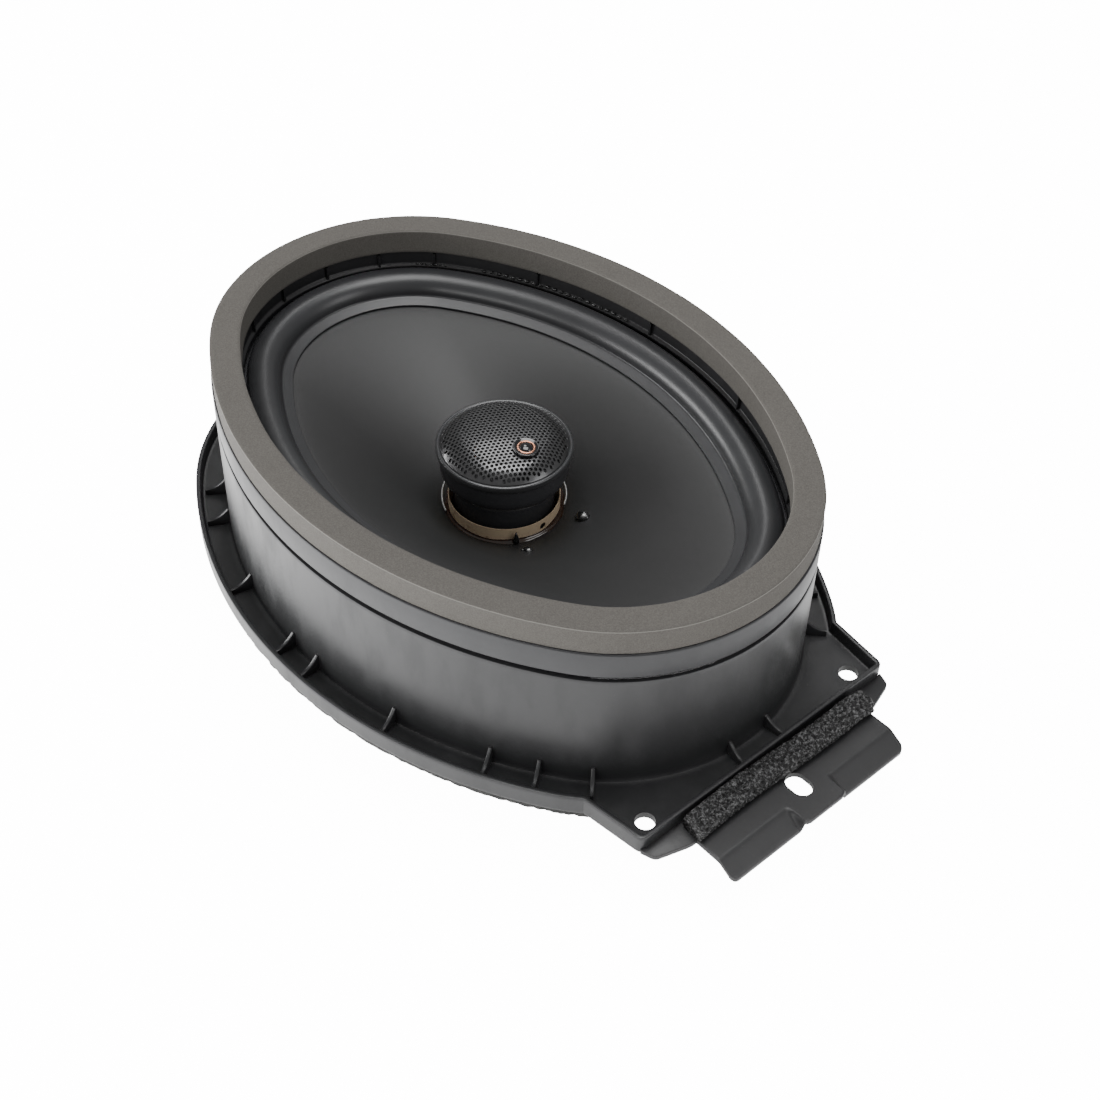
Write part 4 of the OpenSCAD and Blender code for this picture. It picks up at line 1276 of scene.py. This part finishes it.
# %% Punched field
def held_in(plan):
    """Keeps the corners of the outer cells inside the grille's plain edge."""
    reach = np.maximum(np.hypot(plan[:, 0], plan[:, 1]), 1e-6)
    return plan * np.minimum(1, (grille_r - 0.3) / reach)[:, None]


def perforated():
    """The punched field: its points, its faces, the number of faces at each edge, and the number of holes."""
    points, faces, index = [], [], {}

    def vertex(p):
        key = (round(p[0] * 500), round(p[1] * 500), round(p[2] * 500))
        if key not in index:
            index[key] = len(points)
            points.append(p)
        return index[key]

    reach = int(grille_r / pitch) + 2
    corners = facing(np.arange(6) * 60 - 30) * pitch / math.sqrt(3)
    hexagon = np.array([p for k in range(6) for p in (corners[k], (corners[k] + corners[(k + 1) % 6]) / 2)])
    hole = facing(np.arange(corner_n) * 30 - 30) * hole_r
    centres = []
    for row in range(-2 * reach, 2 * reach + 1):
        for place in range(-reach, reach + 1):
            centre = np.array([(place + 0.5 * (row % 2)) * pitch, row * pitch * math.sqrt(3) / 2])
            if np.hypot(*centre) < grille_r - 0.95:
                centres.append(centre)
    for centre in centres:
        layers = []
        for depth in (0.0, sheet_t):
            outer = [vertex(tuple(p)) for p in on_dome(held_in(centre + hexagon), depth)]
            lead_in = 1.14 if depth == 0 else 1.0
            inner = [vertex(tuple(p)) for p in on_dome(centre + hole * lead_in, depth)]
            layers.append((outer, inner))
        waist = [vertex(tuple(p)) for p in on_dome(centre + hole, 0.12)]
        (top_out, top_in), (low_out, low_in) = layers
        for k in range(corner_n):
            h = (k + 1) % corner_n
            faces.append((top_out[k], top_out[h], top_in[h], top_in[k]))
            faces.append((top_in[k], top_in[h], waist[h], waist[k]))
            faces.append((waist[k], waist[h], low_in[h], low_in[k]))
            faces.append((low_in[k], low_in[h], low_out[h], low_out[k]))
    edges = {}
    for face in faces:
        for a, b in zip(face, face[1:] + face[:1]):
            edges[frozenset((a, b))] = edges.get(frozenset((a, b)), 0) + 1
    return points, faces, edges, len(centres)


points, faces, edges, hole_count = perforated()
print("holes:", hole_count)

# %% [markdown]
# ## The grille's plain edge
# The punched field ends in a ragged line of cells. Its two open edges, above and below, are found by
# counting the faces at each edge, and each is joined by triangles to a round ring of the plain edge.

# %% Edge of the grille
neighbours = {}
for a, b in [tuple(edge) for edge, uses in edges.items() if uses == 1]:
    neighbours.setdefault(a, []).append(b)
    neighbours.setdefault(b, []).append(a)


def boundary_loops():
    """The two ragged edges of the punched field, on its upper and its lower side."""
    left = set(neighbours)
    loops = []
    while left:
        start = left.pop()
        loop, here, before = [start], start, None
        while True:
            onward = [v for v in neighbours[here]
                      if v != before and (v in left or (v == start and len(loop) > 2))]
            if not onward or onward[0] == start:
                break
            before, here = here, onward[0]
            left.discard(here)
            loop.append(here)
        loops.append(loop)
    return loops


def turned(loop):
    """The same loop, started at its lowest angle and run anticlockwise."""
    angle = [math.atan2(points[v][1], points[v][0]) for v in loop]
    first = int(np.argmin(angle))
    loop = loop[first:] + loop[:first]
    angle = [math.atan2(points[v][1], points[v][0]) for v in loop]
    return loop if angle[len(loop) // 4] < angle[len(loop) // 2] else [loop[0]] + loop[:0:-1]


def join_loops(inner, outer):
    """Triangles between two loops that both run round the axis once, whatever their point counts."""
    def angles(loop):
        raw = np.unwrap([math.atan2(points[v][1], points[v][0]) for v in loop])
        return raw - 2 * math.pi * round(float(raw[0] + math.pi) / (2 * math.pi))
    a_in, a_out = list(angles(inner)), list(angles(outer))
    i = j = 0
    made = []
    while i < len(inner) or j < len(outer):
        next_in = a_in[i + 1] if i + 1 < len(inner) else a_in[0] + 2 * math.pi
        next_out = a_out[j + 1] if j + 1 < len(outer) else a_out[0] + 2 * math.pi
        p, q = inner[i % len(inner)], outer[j % len(outer)]
        if j >= len(outer) or (i < len(inner) and next_in < next_out):
            made.append((p, q, inner[(i + 1) % len(inner)]))
            i += 1
        else:
            made.append((p, q, outer[(j + 1) % len(outer)]))
            j += 1
    return made


ragged = sorted((turned(loop) for loop in boundary_loops()),
                key=lambda loop: -np.mean([points[v][2] for v in loop]))
border_n = 180
border = [[], []]
for side, depth in enumerate((0.0, sheet_t)):
    for r in (grille_r - 0.22, grille_r - 0.1, grille_r):
        turns = np.linspace(-math.pi, math.pi, border_n, endpoint=False)
        border[side].append(range(len(points), len(points) + border_n))
        points += [tuple(p) for p in on_dome(np.stack([r * np.cos(turns), r * np.sin(turns)], -1), depth)]
faces += join_loops(ragged[0], border[0][0]) + join_loops(ragged[1], border[1][0])
round_edge = border[0] + border[1][::-1]
for first, second in zip(round_edge, round_edge[1:]):
    faces += [(first[k], first[(k + 1) % border_n], second[(k + 1) % border_n], second[k])
              for k in range(border_n)]
piece("tweeter_grille_punched", "frame", grille_steel, "grille_steel", (np.array(points), faces), sharp=50,
      stands_for=["tweeter_grille"])
print("ragged edges:", [len(loop) for loop in ragged], "faces:", len(faces))

# %% Badge
badge_x, badge_r = 10.8, 4.5
badge_tilt = math.atan2(dome(badge_x - 0.5) - dome(badge_x + 0.5), 1.0)
badge_place = Matrix.Translation((badge_x, 0, dome(badge_x) + 0.1)) @ Matrix.Rotation(badge_tilt, 4, "Y")
badge_section = rounded([(0.01, -0.5), (badge_r - 0.15, -0.5), (badge_r, 0.1), (badge_r, 0.75),
                         (badge_r - 0.35, 1.05), (3.2, 0.7), (2.3, 0.62), (1.9, 1.1),
                         (0.9, 1.45), (0.01, 1.5)],
                        [0, 0.1, 0.2, 0.3, 0.3, 0.4, 0.3, 0.3, 0.6, 0], 4)
piece("tweeter_badge_disc", "frame", badge_gloss, "badge_gloss",
      placed(lathe(badge_section, 96), badge_place), stands_for=["tweeter_badge"])
wire_section = [(2.75 + 0.4 * math.cos(t), 0.72 + 0.2 * math.sin(t))
                for t in np.linspace(0, 2 * math.pi, 12, endpoint=False)]
piece("tweeter_badge_ring", "frame", badge_ring, "badge_gloss", placed(lathe(wire_section, 64), badge_place),
      sharp=0)
print("badge tilt", round(math.degrees(badge_tilt), 1))

# %% [markdown]
# ## The magnet boot
# A soft rubber cap covers the magnet, with a rounded edge and shallow grip ribs round its side.

# %% Boot
def boot_ring(r, z, ribbed):
    """A loop of the boot's side, with 32 shallow grooves where ribbed is 1."""
    q = np.linspace(0, 2 * math.pi, 384, endpoint=False)
    groove = 0.35 * ribbed * (0.5 - 0.5 * np.cos(q * 32)) ** 6
    return np.stack([(r - groove) * np.cos(q), (r - groove) * np.sin(q), np.full(len(q), float(z))], -1)


boot_r, boot_top = span("magnet_boot")[1][[0, 2]]
boot_t = 2.0
boot_outside = [(boot_r - 14, 0, 0), (boot_r - 13.6, 0, 0), (boot_r - 3.2, 0, 0), (boot_r - 1.8, 0.12, 0),
                (boot_r - 0.7, 0.7, 0), (boot_r - 0.12, 1.8, 0.2), (boot_r, 3.2, 1), (boot_r, 6, 1),
                (boot_r, boot_top - 4, 1), (boot_r, boot_top - 2.4, 0.3), (boot_r, boot_top - 1.6, 0),
                (boot_r - 0.15, boot_top - 0.3, 0), (boot_r - 0.5, boot_top, 0), (boot_r - 1.6, boot_top, 0),
                (boot_r - boot_t, boot_top - 0.3, 0), (boot_r - boot_t, boot_t, 0), (boot_r - 14, boot_t, 0)]
boot_side = skin([boot_ring(*corner) for corner in boot_outside])
boot_centre = lathe([(0.01, 0.25), (boot_r - 14.4, 0.25), (boot_r - 13.8, 0.0), (boot_r - 13.8, boot_t),
                     (0.01, boot_t)], 128)
piece("magnet_boot_moulded", "frame", boot_rubber, "boot_rubber", boot_side, boot_centre,
      stands_for=["magnet_boot"])
print("boot radius", round(boot_r, 1))

# %% [markdown]
# ## Finishes for the CAD pieces that stay
# The rest of the motor, the legs and the terminals are already the right shape. They keep their solids and
# get the same finishes.

# %% Finishes by node
wearers = (
    (basket_plastic, "basket_legs basket_seat"), (copper, "voice_coil tweeter_coil"), (ferrite, "magnet"),
    (plated_steel, "top_plate yoke motor_rivets post_nut tweeter_pot tweeter_plate"),
    (phenolic, "terminal_board"), (terminal_plate, "terminal_wide terminal_narrow"),
    (capacitor_sleeve, "crossover_capacitor"), (red_wire, "tweeter_leads"), (neodymium, "tweeter_magnet"),
    (tweeter_plastic, "tweeter_face"), (surround_rubber, "tweeter_surround"), (dome_silk, "tweeter_dome"))
kept = {node: finish for finish, nodes in wearers for node in nodes.split()}
for node, finish in kept.items():
    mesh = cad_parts[node].data
    mesh.materials.clear()
    mesh.materials.append(finish)
shown = [name for name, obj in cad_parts.items() if not obj.hide_render and name not in kept]
print("finishes put on:", len(kept), "left without one:", shown)

# %% [markdown]
# ## Camera, floor and light
# The camera looks down at 44 degrees. Black plastic shows its shape only by what it mirrors, so the light
# is a white studio: a flat floor that glows like a light table, more on the left than on the right, a soft
# panel overhead, and four smaller ones behind and around. To the camera itself the floor and the room are
# pure white, and to everything else they are much dimmer, so the ground stays clean without washing out the
# blacks.

# %% Camera
eye = Vector((0.33899, -0.29321, 0.45147))
aim = Vector((-0.13483, 0.14769, -0.17470))
roll_angle = math.radians(1.78)
back = (eye - aim).normalized()
right = (-back).cross(Vector((0, 0, 1))).normalized()
above = right.cross(-back)
tilted_right = right * math.cos(roll_angle) + above * math.sin(roll_angle)
tilted_up = above * math.cos(roll_angle) - right * math.sin(roll_angle)
lens = bpy.data.cameras.new("camera")
lens.lens = 57.72
lens.sensor_width = 36
lens.clip_start = 0.01
camera = in_scene("camera", lens)
camera.matrix_world = axes_at(tilted_right, tilted_up, back, eye)
bpy.context.scene.camera = camera
print("camera at", [round(v, 3) for v in eye])

# %% Floor, room and lights
def lit_paper(glow_right, glow_left, glow_seen):
    """White paper lit from behind, more on the left. The direct view of it is pure white."""
    f = Finish("studio_floor")
    fibres = f.noise(6, 3)
    paper = f.blend(fibres, (0.9, 0.9, 0.9), (0.94, 0.94, 0.94))
    matt = f.node("ShaderNodeBsdfDiffuse", None, {"Color": paper})["BSDF"]
    parts = f.parts()
    left = f.band(parts["X"] * -0.9 + parts["Y"] * -0.44, -0.1, 0.18)
    glow = left * (glow_left - glow_right) + glow_right
    dim, bright = [f.node("ShaderNodeEmission", None, {"Color": (1, 1, 1), "Strength": strength})["Emission"]
                   for strength in (glow, glow_seen)]
    seen = f.node("ShaderNodeLightPath")["Is Camera Ray"]
    light = f.node("ShaderNodeMixShader", None, {0: seen, 1: dim, 2: bright})["Shader"]
    mixed = f.node("ShaderNodeAddShader", None, {0: matt, 1: light})["Shader"]
    f.node("ShaderNodeOutputMaterial", None, {"Surface": mixed})
    return f.material


seen_white = 14.0
floor_finish = lit_paper(0.95, 2.4, seen_white)
floor_mesh = bpy.data.meshes.new("studio_floor")
floor_points = [(x, y, 0.0) for x in np.linspace(-6, 6, 3) for y in np.linspace(-6, 6, 3)]
floor_mesh.from_pydata(floor_points, [], [(i * 3 + j, i * 3 + j + 3, i * 3 + j + 4, i * 3 + j + 1)
                                          for i in range(2) for j in range(2)])
floor_mesh.materials.append(floor_finish)
floor = in_scene("studio_floor", floor_mesh)

room = bpy.data.worlds.new("white_room")
room.use_nodes = True
background = room.node_tree.nodes["Background"]
background.inputs["Color"].default_value = (1, 1, 1, 1)
seen_or_not = room.node_tree.nodes.new("ShaderNodeMapRange")
seen_or_not.inputs["To Min"].default_value = 0.34
seen_or_not.inputs["To Max"].default_value = seen_white
light_path = room.node_tree.nodes.new("ShaderNodeLightPath")
room.node_tree.links.new(light_path.outputs["Is Camera Ray"], seen_or_not.inputs["Value"])
room.node_tree.links.new(seen_or_not.outputs["Result"], background.inputs["Strength"])
bpy.context.scene.world = room


def panel(name, place, aim_z, width, height, power):
    """A soft rectangular light that faces a point on the speaker's axis."""
    light = bpy.data.lights.new(name, "AREA")
    light.shape = "RECTANGLE"
    light.size, light.size_y, light.energy = width, height, power
    obj = in_scene(name, light)
    obj.location = place
    obj.rotation_euler = (Vector((0, 0, aim_z)) - Vector(place)).to_track_quat("-Z", "Y").to_euler()


panels = [("overhead", (-0.1, 0.12, 1.3), 0.05, 0.8, 0.7, 12.5),
          ("behind", (-0.54, 0.46, 0.95), 0.07, 0.28, 0.26, 1.5),
          ("left_side", (-0.95, -0.85, 0.3), 0.05, 1.0, 0.4, 17),
          ("right_side", (0.95, 0.35, 0.6), 0.05, 0.5, 0.6, 3),
          ("front", (0.15, -0.95, 0.34), 0.05, 0.6, 0.3, 2.4)]
for facts in panels:
    panel(*facts)
print(len(panels), "panels")
